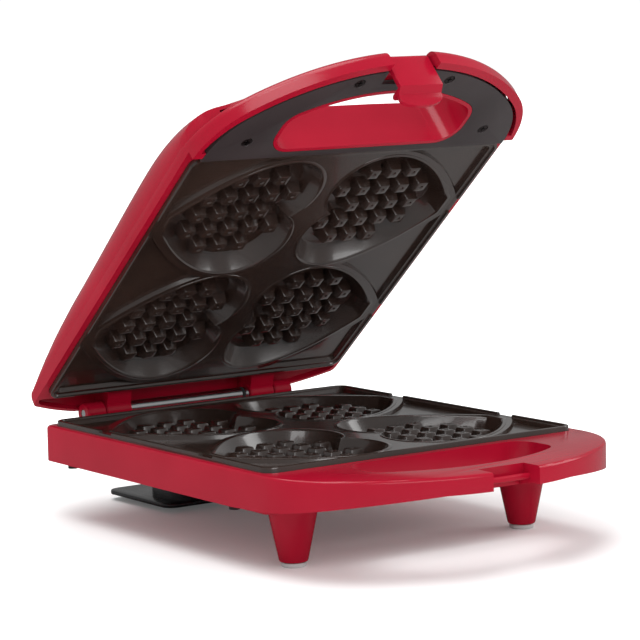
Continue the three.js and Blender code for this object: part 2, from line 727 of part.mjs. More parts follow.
function baseHousing() {
  const bodyFront = FRONT_Y - OPENING_SETBACK + WALL;
  const outer = prism(housingOutline(0, baseBack), SKIRT_Z - PAST, BASE_TOP + PAST).intersect(
    prismAcross(baseProfile(), -HALF_WIDTH - PAST, HALF_WIDTH + PAST),
  );
  const room = roundedRectangle(
    WALL - HALF_WIDTH,
    HALF_WIDTH - WALL,
    bodyFront,
    BACK_MARGIN - WALL,
    BACK_CORNER - WALL,
  );
  const shell = cut(outer, [
    prism(room, SKIRT_Z - PAST, BASE_TOP + PAST),
    prism(openingOutline(OPENING_SETBACK, 0), SKIRT_Z - PAST, BASE_TOP + PAST),
    latchRecess(),
  ]);
  const lugs = [-1, 1].flatMap((side) => [
    hingeBarrel(KNUCKLE_R, side, BASE_KNUCKLE),
    hingeWeb(
      [
        [BACK_MARGIN - WALL / 2, SKIRT_Z + GLAND_UP],
        [HINGE.y, HINGE.z - KNUCKLE_R * 0.98],
        [HINGE.y, HINGE.z],
        [BACK_MARGIN - WALL / 2, BASE_TOP],
      ],
      side,
      BASE_KNUCKLE,
    ),
  ]);
  const posts = coverPosts(COVER_POST_R, COVER_TOP + GAP, PARTING_Z + SLAB_BACK - SEAT_THICK);
  const seat = plateSeat(-PLATE_PROUD, OPENING_SETBACK).map(lowered);
  const bar = crosswise(CATCH_R, -NOTCH_HALF - PAST, NOTCH_HALF + PAST, CATCH_Y, CATCH_Z, 12);
  return cut(join([shell, ...lugs, ...posts, ...seat, bar]), [
    rodBore(),
    lengthwise(GLAND_R + GAP, 0, BACK_MARGIN - WALL - PAST, BACK_MARGIN + PAST, GLAND_Z),
    ...coverPosts(SCREW_R + SCREW_CLEARANCE, COVER_TOP, COVER_TOP + 11, 8),
  ]);
}

function bottomCover() {
  const inset = WALL + GAP;
  const half = HALF_WIDTH - inset;
  const front = FRONT_Y - OPENING_SETBACK + inset;
  const edge = roundedRectangle(-half, half, front, BACK_MARGIN - inset, BACK_CORNER - inset);
  const belly = (shrink, bottom, top) => {
    const side = BELLY_HALF - shrink;
    const corner = BELLY_CORNER - shrink;
    return prism(
      roundedRectangle(-side, side, FRONT_Y + BELLY_FRONT + shrink, -shrink, corner),
      bottom,
      top,
    );
  };
  const footY = FRONT_Y + FOOT_FORWARD;
  const legs = [-1, 1].map((side) =>
    upright(FOOT_END_R, side * FOOT_X, footY, PAD_HEIGHT + GAP, COVER_UNDER + PAST, 24, FOOT_TOP_R),
  );
  const hole = SCREW_R + SCREW_CLEARANCE;
  return cut(join([prism(edge, COVER_UNDER, COVER_TOP), belly(0, BELLY_Z, COVER_UNDER + PAST), ...legs]), [
    belly(WALL, BELLY_Z + WALL, COVER_TOP + PAST),
    ...coverPosts(hole, COVER_UNDER - PAST, COVER_TOP + PAST, 8),
    ...cleatScrews(hole, BELLY_Z - PAST, BELLY_Z + WALL + PAST),
  ]);
}

const coverScrew = (side, y) => screw(side * COVER_SCREW_X, y, COVER_UNDER - GAP, COVER_TOP + 9);

const footPad = (radius, height) => upright(radius, 0, 0, 0, height, 20);

// ---------------------------------------------------------------- cord wrap

function cleatScrews(radius, bottom, top) {
  return [-1, 1].map((side) =>
    upright(radius, (side * CLEAT_POST_HALF) / 2, -CLEAT_POST_FRONT / 2, bottom, top, 8),
  );
}

// A flat foot on a post: the supply cord winds round the post.
function cordCleat() {
  const foot = roundedRectangle(-CLEAT_HALF, CLEAT_HALF, -CLEAT_FRONT, CLEAT_BACK, CLEAT_CORNER);
  const post = (inset) =>
    roundedRectangle(
      inset - CLEAT_POST_HALF,
      CLEAT_POST_HALF - inset,
      inset - CLEAT_POST_FRONT,
      -CLEAT_POST_BACK - inset,
      CLEAT_POST_CORNER - inset,
    );
  const top = BELLY_Z - GAP;
  const body = prism(foot, CLEAT_Z, CLEAT_Z + CLEAT_THICK).add(prism(post(0), CLEAT_Z + PAST, top));
  return cut(body, [
    prism(post(WALL), CLEAT_Z - PAST, top - WALL),
    ...cleatScrews(SCREW_R + SCREW_CLEARANCE, top - WALL - PAST, top + PAST),
  ]);
}

const cleatScrew = (side) =>
  screw(
    (side * CLEAT_POST_HALF) / 2,
    -CLEAT_POST_FRONT / 2,
    BELLY_Z - WALL - 2 * GAP,
    BELLY_Z + WALL + SCREW_BITE,
  );

// ---------------------------------------------------------------- lid

// The roof's crest in side view, from the back to the handle: x holds y, y holds height.
function lidCrest() {
  const point = (y, height) => new THREE.Vector2(y, PARTING_Z + height);
  const rise = point(-80, LID_RISE);
  const top = point(FRONT_Y + 51, LID_TOP);
  const fall = point(FRONT_Y - 29, (LID_TOP + LID_GRIP_TOP) / 2 - 8);
  const grip = point(FRONT_Y - 51, LID_GRIP_TOP);
  const curves = [
    new THREE.CubicBezierCurve(
      point(LID_BACK, LID_BACK_TOP),
      point(2, LID_RISE - 10),
      point(-30, LID_RISE - 1),
      rise,
    ),
    new THREE.CubicBezierCurve(
      rise,
      point(-115, LID_RISE + 1),
      point(FRONT_Y + 86, LID_TOP),
      top,
    ),
    new THREE.CubicBezierCurve(
      top,
      point(FRONT_Y + 16, LID_TOP),
      point(FRONT_Y - 9, LID_TOP - 10),
      fall,
    ),
    new THREE.QuadraticBezierCurve(fall, point(FRONT_Y - 38, LID_GRIP_TOP), grip),
  ];
  const points = curves.flatMap((curve) => curve.getPoints(6).slice(0, -1));
  return [point(LID_BACK + 2, LID_BACK_TOP), ...points, grip, point(APEX_Y - 2, LID_GRIP_TOP)];
}

function crestAt(y) {
  const crest = lidCrest();
  const i = crest.findIndex((p) => p.x < y);
  const [a, b] = [crest[i - 1], crest[i]];
  return THREE.MathUtils.mapLinear(y, a.x, b.x, a.y, b.y);
}

// The bow over the hinge fades out towards the middle of the roof.
function bowed(x, y) {
  const fade = THREE.MathUtils.smoothstep(y, -60, LID_BACK);
  return y + backBow(x) * fade;
}

// Front view of the lid at one station: upright sides, wide rounded shoulders, a slight crown.
function lidRing(station, inset, bottom) {
  const half = HALF_WIDTH - inset;
  const top = station.y - inset;
  const drop = Math.max(1.2, station.y - GRIP_TOP_Z);
  const crown = Math.min(LID_CROWN, drop * 0.15);
  const flatHalf = HALF_WIDTH - LID_SHOULDER;
  const steps = 5;
  const right = [
    [half, bottom],
    [half, top - drop],
  ];
  for (let i = 1; i <= steps; i += 1) {
    const angle = (i / steps) * (Math.PI / 2);
    const x = flatHalf + (half - flatHalf) * Math.cos(angle);
    right.push([x, top - drop + drop * Math.sin(angle)]);
  }
  right.push([flatHalf / 2, top + crown * 0.75]);
  const left = right.map(([x, z]) => [-x, z]).reverse();
  return [...right, [0, top + crown], ...left].map(
    ([x, z]) => new THREE.Vector3(x, bowed(x, station.x), z),
  );
}

function lidDome(inset, bottom) {
  const rings = lidCrest().map((station) => lidRing(station, inset, bottom));
  return skin(rings, (p) => new THREE.Vector2(p.x, p.z));
}

// The lid's plan as a solid whose front edge rounds over at the grip's top.
function lidPlan(bottom) {
  const layers = [
    [bottom, 0],
    [GRIP_TOP_Z - GRIP_ROUND, 0],
    [GRIP_TOP_Z - GRIP_ROUND * 0.6, GRIP_ROUND * 0.09],
    [GRIP_TOP_Z - GRIP_ROUND * 0.25, GRIP_ROUND * 0.36],
    [GRIP_TOP_Z, GRIP_ROUND],
    [LID_CEILING, GRIP_ROUND],
  ];
  const rings = layers.map(([z, inset]) =>
    cornersOf(housingOutline(0, lidBack, inset)).map((p) => new THREE.Vector3(p.x, p.y, z)),
  );
  return skin(rings, (p) => new THREE.Vector2(p.x, p.y));
}

const lidOutside = (bottom) => lidDome(0, bottom - PAST).intersect(lidPlan(bottom));

function lidInside(inset, bottom) {
  const plan = prism(housingOutline(inset, lidBack, GRIP_ROUND / 2), bottom, LID_CEILING);
  return lidDome(inset, bottom - PAST).intersect(plan);
}

const latchNotch = (bottom, top) =>
  block(-NOTCH_HALF, NOTCH_HALF, APEX_Y - 5, LATCH_Y + LATCH_ROOM, bottom, top);

function gripPosts(radius, bottom, top, facets = 12) {
  return [-1, 1].flatMap((side) =>
    GRIP_SCREWS.map(([x, y]) => upright(radius, side * x, y, bottom, top, facets)),
  );
}

// What clips to the lid's inside: a wall before the hinge, screw posts, plate rails and knuckles.
function lidRibs() {
  const wide = HALF_WIDTH - 1;
  const partition = block(-wide, wide, BACK_MARGIN - WALL, BACK_MARGIN, LIP_Z, LID_CEILING);
  const webs = [-1, 1].map((side) =>
    hingeWeb(
      [
        [BACK_MARGIN - WALL / 2, LIP_Z],
        [HINGE.y - KNUCKLE_R * 0.98, HINGE.z],
        [HINGE.y + KNUCKLE_R * 0.98, HINGE.z],
        [HINGE.y + KNUCKLE_R * 0.98, LID_CEILING],
        [BACK_MARGIN - WALL / 2, LID_CEILING],
      ],
      side,
      LID_KNUCKLE,
    ),
  );
  const seat = plateSeat(LID_PLATE_Z - LIP_Z, LID_OPENING_SETBACK).map(turnedOver);
  const posts = gripPosts(GRIP_POST_R, GRIP_COVER_BACK + GAP, LID_CEILING);
  return join([partition, ...webs, ...seat, ...posts]).intersect(lidInside(WALL / 5, GRIP_FACE_Z));
}

function lidHousing() {
  const lining = prism(openingOutline(LID_OPENING_SETBACK, WALL), GRIP_FACE_Z - PAST, LID_CEILING);
  const notchHalf = NOTCH_HALF + LATCH_PIN_SEAT + PAST;
  const notchBack = LATCH_Y + LATCH_ROOM + WALL;
  const notchWall = block(
    -notchHalf,
    notchHalf,
    APEX_Y - PAST,
    notchBack,
    GRIP_COVER_BACK + GAP,
    LID_CEILING,
  );
  const hollow = cut(lidInside(WALL, GRIP_FACE_Z - PAST), [lining, notchWall]);
  const side = HALF_WIDTH - GRIP_COVER_INSET;
  const lift = [
    block(-HALF_WIDTH - PAST, HALF_WIDTH + PAST, FRONT_Y - 1, HINGE_BACK * 2, GRIP_FACE_Z - 2, LIP_Z),
    block(-HALF_WIDTH - PAST, -side, FRONT_Y - 4, FRONT_Y, GRIP_FACE_Z - 2, LIP_Z),
    block(side, HALF_WIDTH + PAST, FRONT_Y - 4, FRONT_Y, GRIP_FACE_Z - 2, LIP_Z),
  ];
  const shell = cut(lidOutside(GRIP_FACE_Z), [hollow, ...lift]).add(lidRibs());
  const barrels = [-1, 1].map((hand) => hingeBarrel(KNUCKLE_R, hand, LID_KNUCKLE));
  const coverSeat = cut(
    prism(housingOutline(GRIP_COVER_INSET - GAP, lidBack), GRIP_FACE_Z - PAST, GRIP_COVER_BACK + GAP),
    [behindGripCover(GAP), lining],
  );
  const lensHoles = [-1, 1].map((hand) =>
    upright(LENS_R + GAP, hand * LENS_X, LENS_Y, LIP_Z + CAVITY_DEPTH * 2, LID_CEILING, 16),
  );
  return cut(join([shell, ...barrels]), [
    coverSeat,
    prism(openingOutline(LID_OPENING_SETBACK, 0), GRIP_FACE_Z - PAST, LID_CEILING),
    latchNotch(GRIP_FACE_Z - PAST, LID_CEILING),
    crosswise(
      LATCH_PIN_R + GAP,
      -NOTCH_HALF - LATCH_PIN_SEAT - GAP,
      NOTCH_HALF + LATCH_PIN_SEAT + GAP,
      LATCH_Y,
      LATCH_Z,
      12,
    ),
    ...[-1, 1].map((hand) => hingeBarrel(KNUCKLE_R + 1, hand, BASE_KNUCKLE, GAP)),
    rodBore(),
    ...gripPosts(SCREW_R + SCREW_CLEARANCE, GRIP_COVER_BACK, GRIP_COVER_BACK + SCREW_BITE + 2 * GAP, 8),
    ...lensHoles,
  ]);
}

// The dark inner face of the lid's grip ends just before the plate.
function behindGripCover(less) {
  return block(
    -HALF_WIDTH,
    HALF_WIDTH,
    FRONT_Y - 1.2 + less,
    HINGE_BACK * 2,
    GRIP_FACE_Z - 2 * PAST,
    GRIP_COVER_BACK + 2 * PAST,
  );
}

function gripCover() {
  const [bottom, top] = [GRIP_FACE_Z - PAST, GRIP_COVER_BACK + PAST];
  return cut(prism(housingOutline(GRIP_COVER_INSET, lidBack), GRIP_FACE_Z, GRIP_COVER_BACK), [
    behindGripCover(0),
    prism(openingOutline(LID_OPENING_SETBACK, WALL + GAP), bottom, top),
    latchNotch(bottom, top),
    ...gripPosts(SCREW_R + SCREW_CLEARANCE, bottom, top, 8),
    ...gripPosts(SCREW_HEAD_R + SCREW_CLEARANCE, bottom, GRIP_FACE_Z + GRIP_SCREW_HEAD + 2 * GAP, 12),
  ]);
}

// Its head is sunk in the cover.
function gripScrew(side, [x, y]) {
  const face = GRIP_FACE_Z + GAP;
  const seat = face + GRIP_SCREW_HEAD;
  const shank = upright(SCREW_R, side * x, y, seat - GAP, GRIP_COVER_BACK + SCREW_BITE, 6);
  return shank.add(upright(SCREW_HEAD_R, side * x, y, face, seat, 8));
}

// A domed lens that plugs a hole in the roof.
function lens() {
  const profile = [
    [0, -LENS_DEPTH],
    [LENS_R, -LENS_DEPTH],
    [LENS_R, LENS_PROUD * 0.3],
    [LENS_R * 0.65, LENS_PROUD * 0.8],
    [0, LENS_PROUD],
  ].map(([r, z]) => new THREE.Vector2(r, z));
  return solid(new THREE.LatheGeometry(profile, 16).rotateX(Math.PI / 2));
}

// ---------------------------------------------------------------- latch
// Built about its own pivot: the hub turns on the pin, the face hangs in front, and a hook with a
// rounded bead reaches in under the catch bar.

function latchClip() {
  const half = LATCH_WIDTH / 2;
  const top = LID_GRIP_TOP - LATCH_PIVOT_UP;
  const face = -LATCH_FACE;
  const back = face + LATCH_THICK;
  const hookBack = HOOK_TOP - HOOK_THICK;
  const beadZ = HOOK_TOP - BEAD_R;
  const creaseZ = hookBack - 1;
  const tabFace = face + LATCH_STEP;
  const tabEnd = creaseZ - LATCH_TAB;
  const beadFrom = Math.PI - Math.asin((hookBack - beadZ) / BEAD_R);
  const side = new THREE.Shape();
  side.moveTo(LATCH_HUB_R, 0);
  side.absarc(0, 0, LATCH_HUB_R, 0, Math.PI / 2);
  side.lineTo(0, top);
  side.lineTo(face + LATCH_THICK + 0.5, top);
  side.quadraticCurveTo(face, top, face, top - LATCH_THICK - 0.7);
  side.lineTo(face, HOOK_TOP - 0.7);
  side.lineTo(tabFace, creaseZ);
  side.lineTo(tabFace + LATCH_TAB_LEAN, tabEnd);
  side.lineTo(tabFace + LATCH_TAB_LEAN + HOOK_THICK, tabEnd);
  side.lineTo(tabFace + HOOK_THICK + 0.3, creaseZ - 0.5);
  side.absarc(HOOK_REACH, beadZ, BEAD_R, beadFrom, Math.PI * 2.5);
  side.lineTo(back, HOOK_TOP);
  side.lineTo(back, -LATCH_HUB_R);
  side.lineTo(0, -LATCH_HUB_R);
  side.absarc(0, 0, LATCH_HUB_R, -Math.PI / 2, 0);
  const body = prismAcross(side, -half, half, 5);
  const cheek = creaseZ - LATCH_TAB * 0.3;
  const tab = new THREE.Shape();
  tab.moveTo(-half, top + PAST);
  tab.lineTo(-half, cheek);
  tab.bezierCurveTo(-half, tabEnd - 1.6, half, tabEnd - 1.6, half, cheek);
  tab.lineTo(half, top + PAST);
  const front = prismForward(tab, HOOK_REACH + BEAD_R + PAST, face - PAST, 10);
  return body.intersect(front).subtract(crosswise(LATCH_PIN_R + GAP, -half - PAST, half + PAST, 0, 0, 12));
}

// ---------------------------------------------------------------- small inner pieces

// The thermostat presses on the plate between the hearts, and the fuse lies in a heart's notch.
const thermostat = () => {
  const top = PARTING_Z + SLAB_BACK - GAP;
  return upright(THERMOSTAT_R, 0, MIDDLE_Y, top - THERMOSTAT_HEIGHT, top);
};

const thermalFuse = () => {
  const [from, to] = [HEART_YS[1] - FUSE_LENGTH / 2, HEART_YS[1] + FUSE_LENGTH / 2];
  return lengthwise(FUSE_R, 0, from, to, PARTING_Z + SLAB_BACK - GAP - FUSE_R, 12);
};

const terminalBlock = () => {
  const [width, depth, height] = TERMINAL;
  const floor = BELLY_Z + WALL + GAP;
  const [front, rear] = [TERMINAL_Y - depth / 2, TERMINAL_Y + depth / 2];
  return block(-width / 2, width / 2, front, rear, floor, floor + height);
};

function cordGland() {
  const inside = BACK_MARGIN - WALL - GAP;
  const outside = BACK_MARGIN + GAP;
  const stem = lengthwise(GLAND_R, 0, inside - GLAND_COLLAR, outside + GLAND_LENGTH, GLAND_Z);
  const collar = lengthwise(GLAND_COLLAR_R, 0, outside, outside + GLAND_COLLAR, GLAND_Z);
  const nut = lengthwise(GLAND_COLLAR_R, 0, inside - GLAND_COLLAR, inside, GLAND_Z);
  const bore = [inside - GLAND_COLLAR - PAST, outside + GLAND_LENGTH + PAST];
  return cut(join([stem, collar, nut]), [lengthwise(GLAND_BORE_R, 0, ...bore, GLAND_Z, 12)]);
}

// A sleeve on the hinge rod between two stations.
const sleeve = (from, to) =>
  crosswise(TUBE_R, from, to, HINGE.y, HINGE.z).subtract(
    crosswise(ROD_R + GAP, from - PAST, to + PAST, HINGE.y, HINGE.z, 16),
  );

// ---------------------------------------------------------------- assembly

const machine = new THREE.Group();

const base = new THREE.Group();
machine.add(base);

const lid = new THREE.Group();
lid.position.copy(HINGE);
lid.rotation.x = -THREE.MathUtils.degToRad(OPEN_ANGLE);
machine.add(lid);

const latch = new THREE.Group();
latch.position.set(0, LATCH_Y - HINGE.y, LATCH_Z - HINGE.z);
lid.add(latch);

// Adds a sub-part to a group; pieces drawn in the closed frame go in at the lid's own origin.
function place(group, name, body, finish, position = [0, 0, 0]) {
  const mesh = new THREE.Mesh(geometryOf(body), finish);
  mesh.name = name;
  mesh.position.set(...position);
  if (group === lid) mesh.position.sub(HINGE);
  group.add(mesh);
}

// A piece drawn in the plate's frame, in the base.
function lowered(body) {
  return body.translate([0, 0, PARTING_Z]);
}

// The lid's copy of such a piece: turned over about the parting plane.
function turnedOver(body) {
  return body.mirror([0, 0, 1]).translate([0, 0, LID_PLATE_Z]);
}

const hands = [
  [-1, "left"],
  [1, "right"],
];
const ends = ["rear", "front"];

place(base, "base_housing", baseHousing(), redPlastic());
place(base, "base_bottom_cover", bottomCover(), redPlastic());
place(base, "cord_wrap_cleat", cordCleat(), blackPlastic());

for (const [hand, word] of hands) {
  const footSpot = [hand * FOOT_X, FRONT_Y + FOOT_FORWARD, 0];
  const rearSpot = [hand * REAR_PAD_X, REAR_PAD_Y, 0];
  place(base, `front_foot_pad_${word}`, footPad(PAD_R, PAD_HEIGHT), translucentRubber(), footSpot);
  place(base, `rear_foot_pad_${word}`, footPad(REAR_PAD_R, CLEAT_Z - GAP), rubber(), rearSpot);
  place(base, `cleat_screw_${word}`, cleatScrew(hand), steel());
  COVER_SCREW_YS.forEach((y, i) => {
    place(base, `bottom_cover_screw_${ends[i]}_${word}`, coverScrew(hand, y), steel());
  });
  POST_YS.forEach((y, i) => {
    const fastener = plateScrew(hand, y);
    place(base, `lower_plate_screw_${ends[i]}_${word}`, lowered(fastener), steel());
    place(lid, `upper_plate_screw_${ends[i]}_${word}`, turnedOver(fastener), steel());
  });
  GRIP_SCREWS.forEach((spot, i) => {
    place(lid, `grip_cover_screw_${["outer", "inner"][i]}_${word}`, gripScrew(hand, spot), steel());
  });
}

const casting = cookingPlate();
const element = heater();
const pan = reflector();
place(base, "lower_plate", lowered(casting), nonStick());
place(lid, "upper_plate", turnedOver(casting), nonStick());
place(base, "lower_heater", lowered(element), elementSteel());
place(lid, "upper_heater", turnedOver(element), elementSteel());
place(base, "lower_reflector", lowered(pan), sheet());
place(lid, "upper_reflector", turnedOver(pan), sheet());

place(base, "thermostat", thermostat(), ceramic());
place(base, "thermal_fuse", thermalFuse(), ceramic());
place(base, "terminal_block", terminalBlock(), ceramic());
place(base, "cord_gland", cordGland(), rubber());

const rodEnd = BASE_KNUCKLE[1] - GAP;
const tubeEnd = LID_KNUCKLE[0] - GAP;
place(base, "hinge_rod", crosswise(ROD_R, -rodEnd, rodEnd, HINGE.y, HINGE.z, 16), steel());
place(base, "hinge_tube", sleeve(-tubeEnd, RING_X - GAP), steel());
place(base, "hinge_ring", sleeve(RING_X, RING_X + RING_WIDTH), rubber());
place(base, "hinge_collar", sleeve(RING_X + RING_WIDTH + GAP, tubeEnd), steel());

place(lid, "lid_housing", lidHousing(), redPlastic());
place(lid, "grip_cover", gripCover(), darkPlastic());
const lensSeat = crestAt(LENS_Y) + LID_CROWN;
place(lid, "power_lens", lens(), amberLens(), [-LENS_X, LENS_Y, lensSeat]);
place(lid, "ready_lens", lens(), greenLens(), [LENS_X, LENS_Y, lensSeat]);

const pinEnd = NOTCH_HALF + LATCH_PIN_SEAT;
place(lid, "latch_pin", crosswise(LATCH_PIN_R, -pinEnd, pinEnd, LATCH_Y, LATCH_Z, 12), steel());
place(latch, "latch_clip", latchClip(), redPlastic());

// The part's origin is the middle of its own box, on the table.
const box = new THREE.Box3().setFromObject(machine, true);
machine.position.set(-(box.min.x + box.max.x) / 2, -(box.min.y + box.max.y) / 2, -box.min.z);

export default machine;
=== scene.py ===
# Electric heart waffle maker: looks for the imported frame. Metres, +Z up.
# Visible pieces are built in the closed machine's frame, in millimetres, then put in place.

import json
import math

import bmesh
import bpy
from mathutils import Matrix, Vector


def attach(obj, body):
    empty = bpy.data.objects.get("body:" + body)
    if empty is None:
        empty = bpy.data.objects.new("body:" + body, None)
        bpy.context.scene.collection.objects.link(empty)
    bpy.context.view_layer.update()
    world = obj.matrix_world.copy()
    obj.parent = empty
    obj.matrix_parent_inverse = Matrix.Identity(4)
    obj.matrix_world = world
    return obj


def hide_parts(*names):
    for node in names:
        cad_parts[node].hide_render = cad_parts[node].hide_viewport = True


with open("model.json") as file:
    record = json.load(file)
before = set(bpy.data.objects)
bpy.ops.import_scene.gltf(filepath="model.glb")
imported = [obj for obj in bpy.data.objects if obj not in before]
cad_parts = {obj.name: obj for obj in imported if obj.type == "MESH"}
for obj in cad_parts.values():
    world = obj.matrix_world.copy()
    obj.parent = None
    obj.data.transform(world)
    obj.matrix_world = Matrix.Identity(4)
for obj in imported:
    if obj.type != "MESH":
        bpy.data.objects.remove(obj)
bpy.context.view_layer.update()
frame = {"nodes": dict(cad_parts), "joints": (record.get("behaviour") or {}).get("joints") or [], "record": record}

RECORD = frame["record"]
MM = 0.001
HINGE = Vector(next(j["pos_m"] for j in frame["joints"] if j["name"] == "lid_hinge"))
LATCH = Vector(next(j["pos_m"] for j in frame["joints"] if j["name"] == "latch_pivot"))
LID_ANGLE = math.radians(41.2)

# ------------------------------------------------------------------ sizes, closed frame, mm

GAP = 0.3
WALL = 2.5
PLATE_HALF = 114.0
HALF = 119.0
FRONT = -241.0
APEX = -324.3
ARC_R = 149.3
ARC_Y = APEX + ARC_R
CORNER_R = 60.0
BAND = 27.3
PARTING = 62.5
BASE_TOP = 59.4
GRIP_FACE = 61.1
COVER_BACK = 64.1
LIP = 66.5
LID_GRIP_TOP = 73.2
CEILING = 106.0
SKIRT = 37.0
COVER_TOP = 39.0
BELLY = 31.3
HINGE_Y = 19.0
HINGE_Z = 60.8
LATCH_Y = -312.0
LATCH_Z = 69.0
CATCH_Y = -312.9
CATCH_Z = 52.4
CATCH_R = 1.8  # the latch's bead and pin bore have the bar's radius too
NOTCH_HALF = 16.9
LAND = -1.5
SLAB_BACK = -5.5
CAVITY_BOTTOM = -12.9
BOSS_BACK = -15.9
HEART_YS = (-64.0, -177.0)
PLATE_CORNER = 8.0
LEDGE = 4.0  # how far the ledge that carries a plate reaches under it
RAISED_HALF = 37.0  # half width of the raised land between the hearts
SLOT_HALF = 7.25  # half width of a stick slot
PEG_START = 19.0
PEG_PITCH = (15.2, 16.1)
BOW_START = 50.0  # half width of the back's straight middle
BOW = 17.0
OPENING_HALF = 67.0
OPENING_CORNER = 13.0
BASE_SETBACK = 6.0  # hand opening's back edge, forward of the plates' front
LID_SETBACK = 8.5
TRAY_FRONT = FRONT - 6
GRIP_DEPTH = 10.7
OVER_BASE = 62.0  # a height past the base's top
NOTCH_BACK = LATCH_Y + 6.2
BELLY_HALF = 85.0
BELLY_CORNER = 18.0
LATCH_HALF = 15.5
LENS_PLACE = (9.0, -70.0)
LENS_BORE = 3.8
FOOT_X = 85.5
FOOT_Y = FRONT + 17
KNUCKLE_R = 7.0
KNUCKLE_EASE = 0.8  # chamfer of a knuckle's end, the same inwards and along
ROD_BORE = 2.8
WEB_REACH = 6.9  # how far a knuckle's web stands from the rod's line
LID_KNUCKLE = (47.0, 66.0)
BASE_KNUCKLE = (66.6, 80.6)

# ------------------------------------------------------------------ outlines


def arc(cx, cy, radius, start, end, steps):
    turn = (end - start) / steps
    return [
        (cx + radius * math.cos(start + turn * i), cy + radius * math.sin(start + turn * i))
        for i in range(steps + 1)
    ]


def bezier(points, steps):
    out = []
    for i in range(steps + 1):
        t = i / steps
        level = [Vector(p) for p in points]
        while len(level) > 1:
            level = [a.lerp(b, t) for a, b in zip(level, level[1:])]
        out.append(tuple(level[0]))
    return out


def tidy(points, least=0.02):
    out = []
    for point in points:
        if not out or math.dist(point, out[-1]) > least:
            out.append(point)
    while math.dist(out[0], out[-1]) <= least:
        out.pop()
    return out


def rounded(x0, x1, y0, y1, r, steps=8):
    quarter = math.pi / 2
    return (
        arc(x1 - r, y0 + r, r, -quarter, 0, steps)
        + arc(x1 - r, y1 - r, r, 0, quarter, steps)
        + arc(x0 + r, y1 - r, r, quarter, 2 * quarter, steps)
        + arc(x0 + r, y0 + r, r, 2 * quarter, 3 * quarter, steps)
    )


def plate_outline(inset, corner=None):
    r = PLATE_CORNER - inset if corner is None else corner
    return rounded(inset - PLATE_HALF, PLATE_HALF - inset, FRONT + inset, -inset, r)


def back_bow(x):
    share = max(abs(x) - BOW_START, 0) / (HALF - BOW_START)
    return BOW * (1 - share * share)


def base_back(inset):
    half, back, r = HALF - inset, 5 - inset, 8 - inset
    quarter = math.pi / 2
    right = arc(half - r, back - r, r, 0, quarter, 8)
    return right + arc(r - half, back - r, r, quarter, 2 * quarter, 8)


def lid_back(inset):
    half, back = HALF - inset, 11 - inset
    near = half - 4.5
    side = bezier([(half, back - 4.5), (half, back + 1), (near, back + back_bow(near))], 8)
    steps = 40
    stations = [near - 2 * near * i / steps for i in range(1, steps)]
    middle = [(x, back + back_bow(x)) for x in stations]
    return side + middle + [(-x, y) for x, y in reversed(side)]


def front_arcs(corner_x, corner, radius, steps=(12, 40)):
    corner_y = ARC_Y - math.sqrt((radius - corner) ** 2 - corner_x**2)
    turn = math.atan2(corner_y - ARC_Y, corner_x)
    left = arc(-corner_x, corner_y, corner, math.pi, math.pi - turn, steps[0])
    middle = arc(0, ARC_Y, radius, -math.pi - turn, turn, steps[1])
    right = arc(corner_x, corner_y, corner, turn, 0, steps[0])
    return left + middle[1:-1] + right


def housing_outline(inset, back, front_inset=0.0):
    half = HALF - inset
    corner = CORNER_R - inset
    return back(inset) + front_arcs(half - corner, corner, ARC_R - inset - front_inset)


def opening_outline(setback, grow):
    half = OPENING_HALF + grow
    back = FRONT - setback + grow
    r = OPENING_CORNER + grow
    x = half - r
    quarter = math.pi / 2
    rear = arc(x, back - r, r, 0, quarter, 8) + arc(-x, back - r, r, quarter, 2 * quarter, 8)
    return rear + front_arcs(x, r, ARC_R - BAND + grow, (8, 30))


def heart(grow, yc, steps=14):
    lobe, crown, tip = 5.5 - grow, 54.5 + grow, 104 + grow
    tip_half, notch = 7.5 + grow / 2, 16 - grow / 2
    first = bezier(
        [(notch, 0), ((notch + lobe) / 2, crown * 0.06), (lobe, crown * 0.2), (lobe, crown * 0.42)],
        steps,
    )
    second = bezier(
        [(lobe, crown * 0.42), (lobe, crown * 0.78), ((lobe + 37) / 2, crown), (37, crown)], steps
    )
    third = bezier([(37, crown), (60, crown), (tip - 20, tip_half + 26.5), (tip, tip_half)], steps)
    upper = first + second[1:] + third[1:]
    lower = [(x, -y) for x, y in reversed(upper[1:])]
    return [(x, y + yc) for x, y in reversed(upper + lower)]


def inside(points, x, y):
    hit = False
    for (ax, ay), (bx, by) in zip(points, points[1:] + points[:1]):
        if (ay > y) != (by > y) and x < (bx - ax) * (y - ay) / (by - ay) + ax:
            hit = not hit
    return hit


# ------------------------------------------------------------------ bodies


def mesh_object(name, vertices, faces):
    mesh = bpy.data.meshes.new(name)
    mesh.from_pydata(vertices, [], faces)
    body = bpy.data.objects.new(name, mesh)
    bpy.context.scene.collection.objects.link(body)
    return body


def skin(rings, name="body"):
    """A closed body through rings of equally many points."""
    count = len(rings[0])
    vertices = [p for ring in rings for p in ring]
    last = (len(rings) - 1) * count
    faces = [tuple(range(count - 1, -1, -1)), tuple(range(last, last + count))]
    for start in range(0, last, count):
        for j in range(count):
            a, b = start + j, start + (j + 1) % count
            faces.append((a, b, b + count, a + count))
    body = mesh_object(name, vertices, faces)
    work = bmesh.new()
    work.from_mesh(body.data)
    bmesh.ops.triangulate(work, faces=[f for f in work.faces if len(f.verts) > 4])
    bmesh.ops.recalc_face_normals(work, faces=work.faces)
    work.to_mesh(body.data)
    work.free()
    return body


def stack(levels):
    """Plan outlines at rising heights: a list of (points, z)."""
    return skin([[(x, y, z) for x, y in points] for points, z in levels])


def prism(points, bottom, top):
    points = tidy(points)
    return stack([(points, bottom), (points, top)])


def prism_across(points, x0, x1):
    points = tidy(points)
    return skin([[(x, y, z) for y, z in points] for x in (x0, x1)])


def block(x0, x1, y0, y1, z0, z1):
    return stack([([(x0, y0), (x1, y0), (x1, y1), (x0, y1)], z) for z in (z0, z1)])


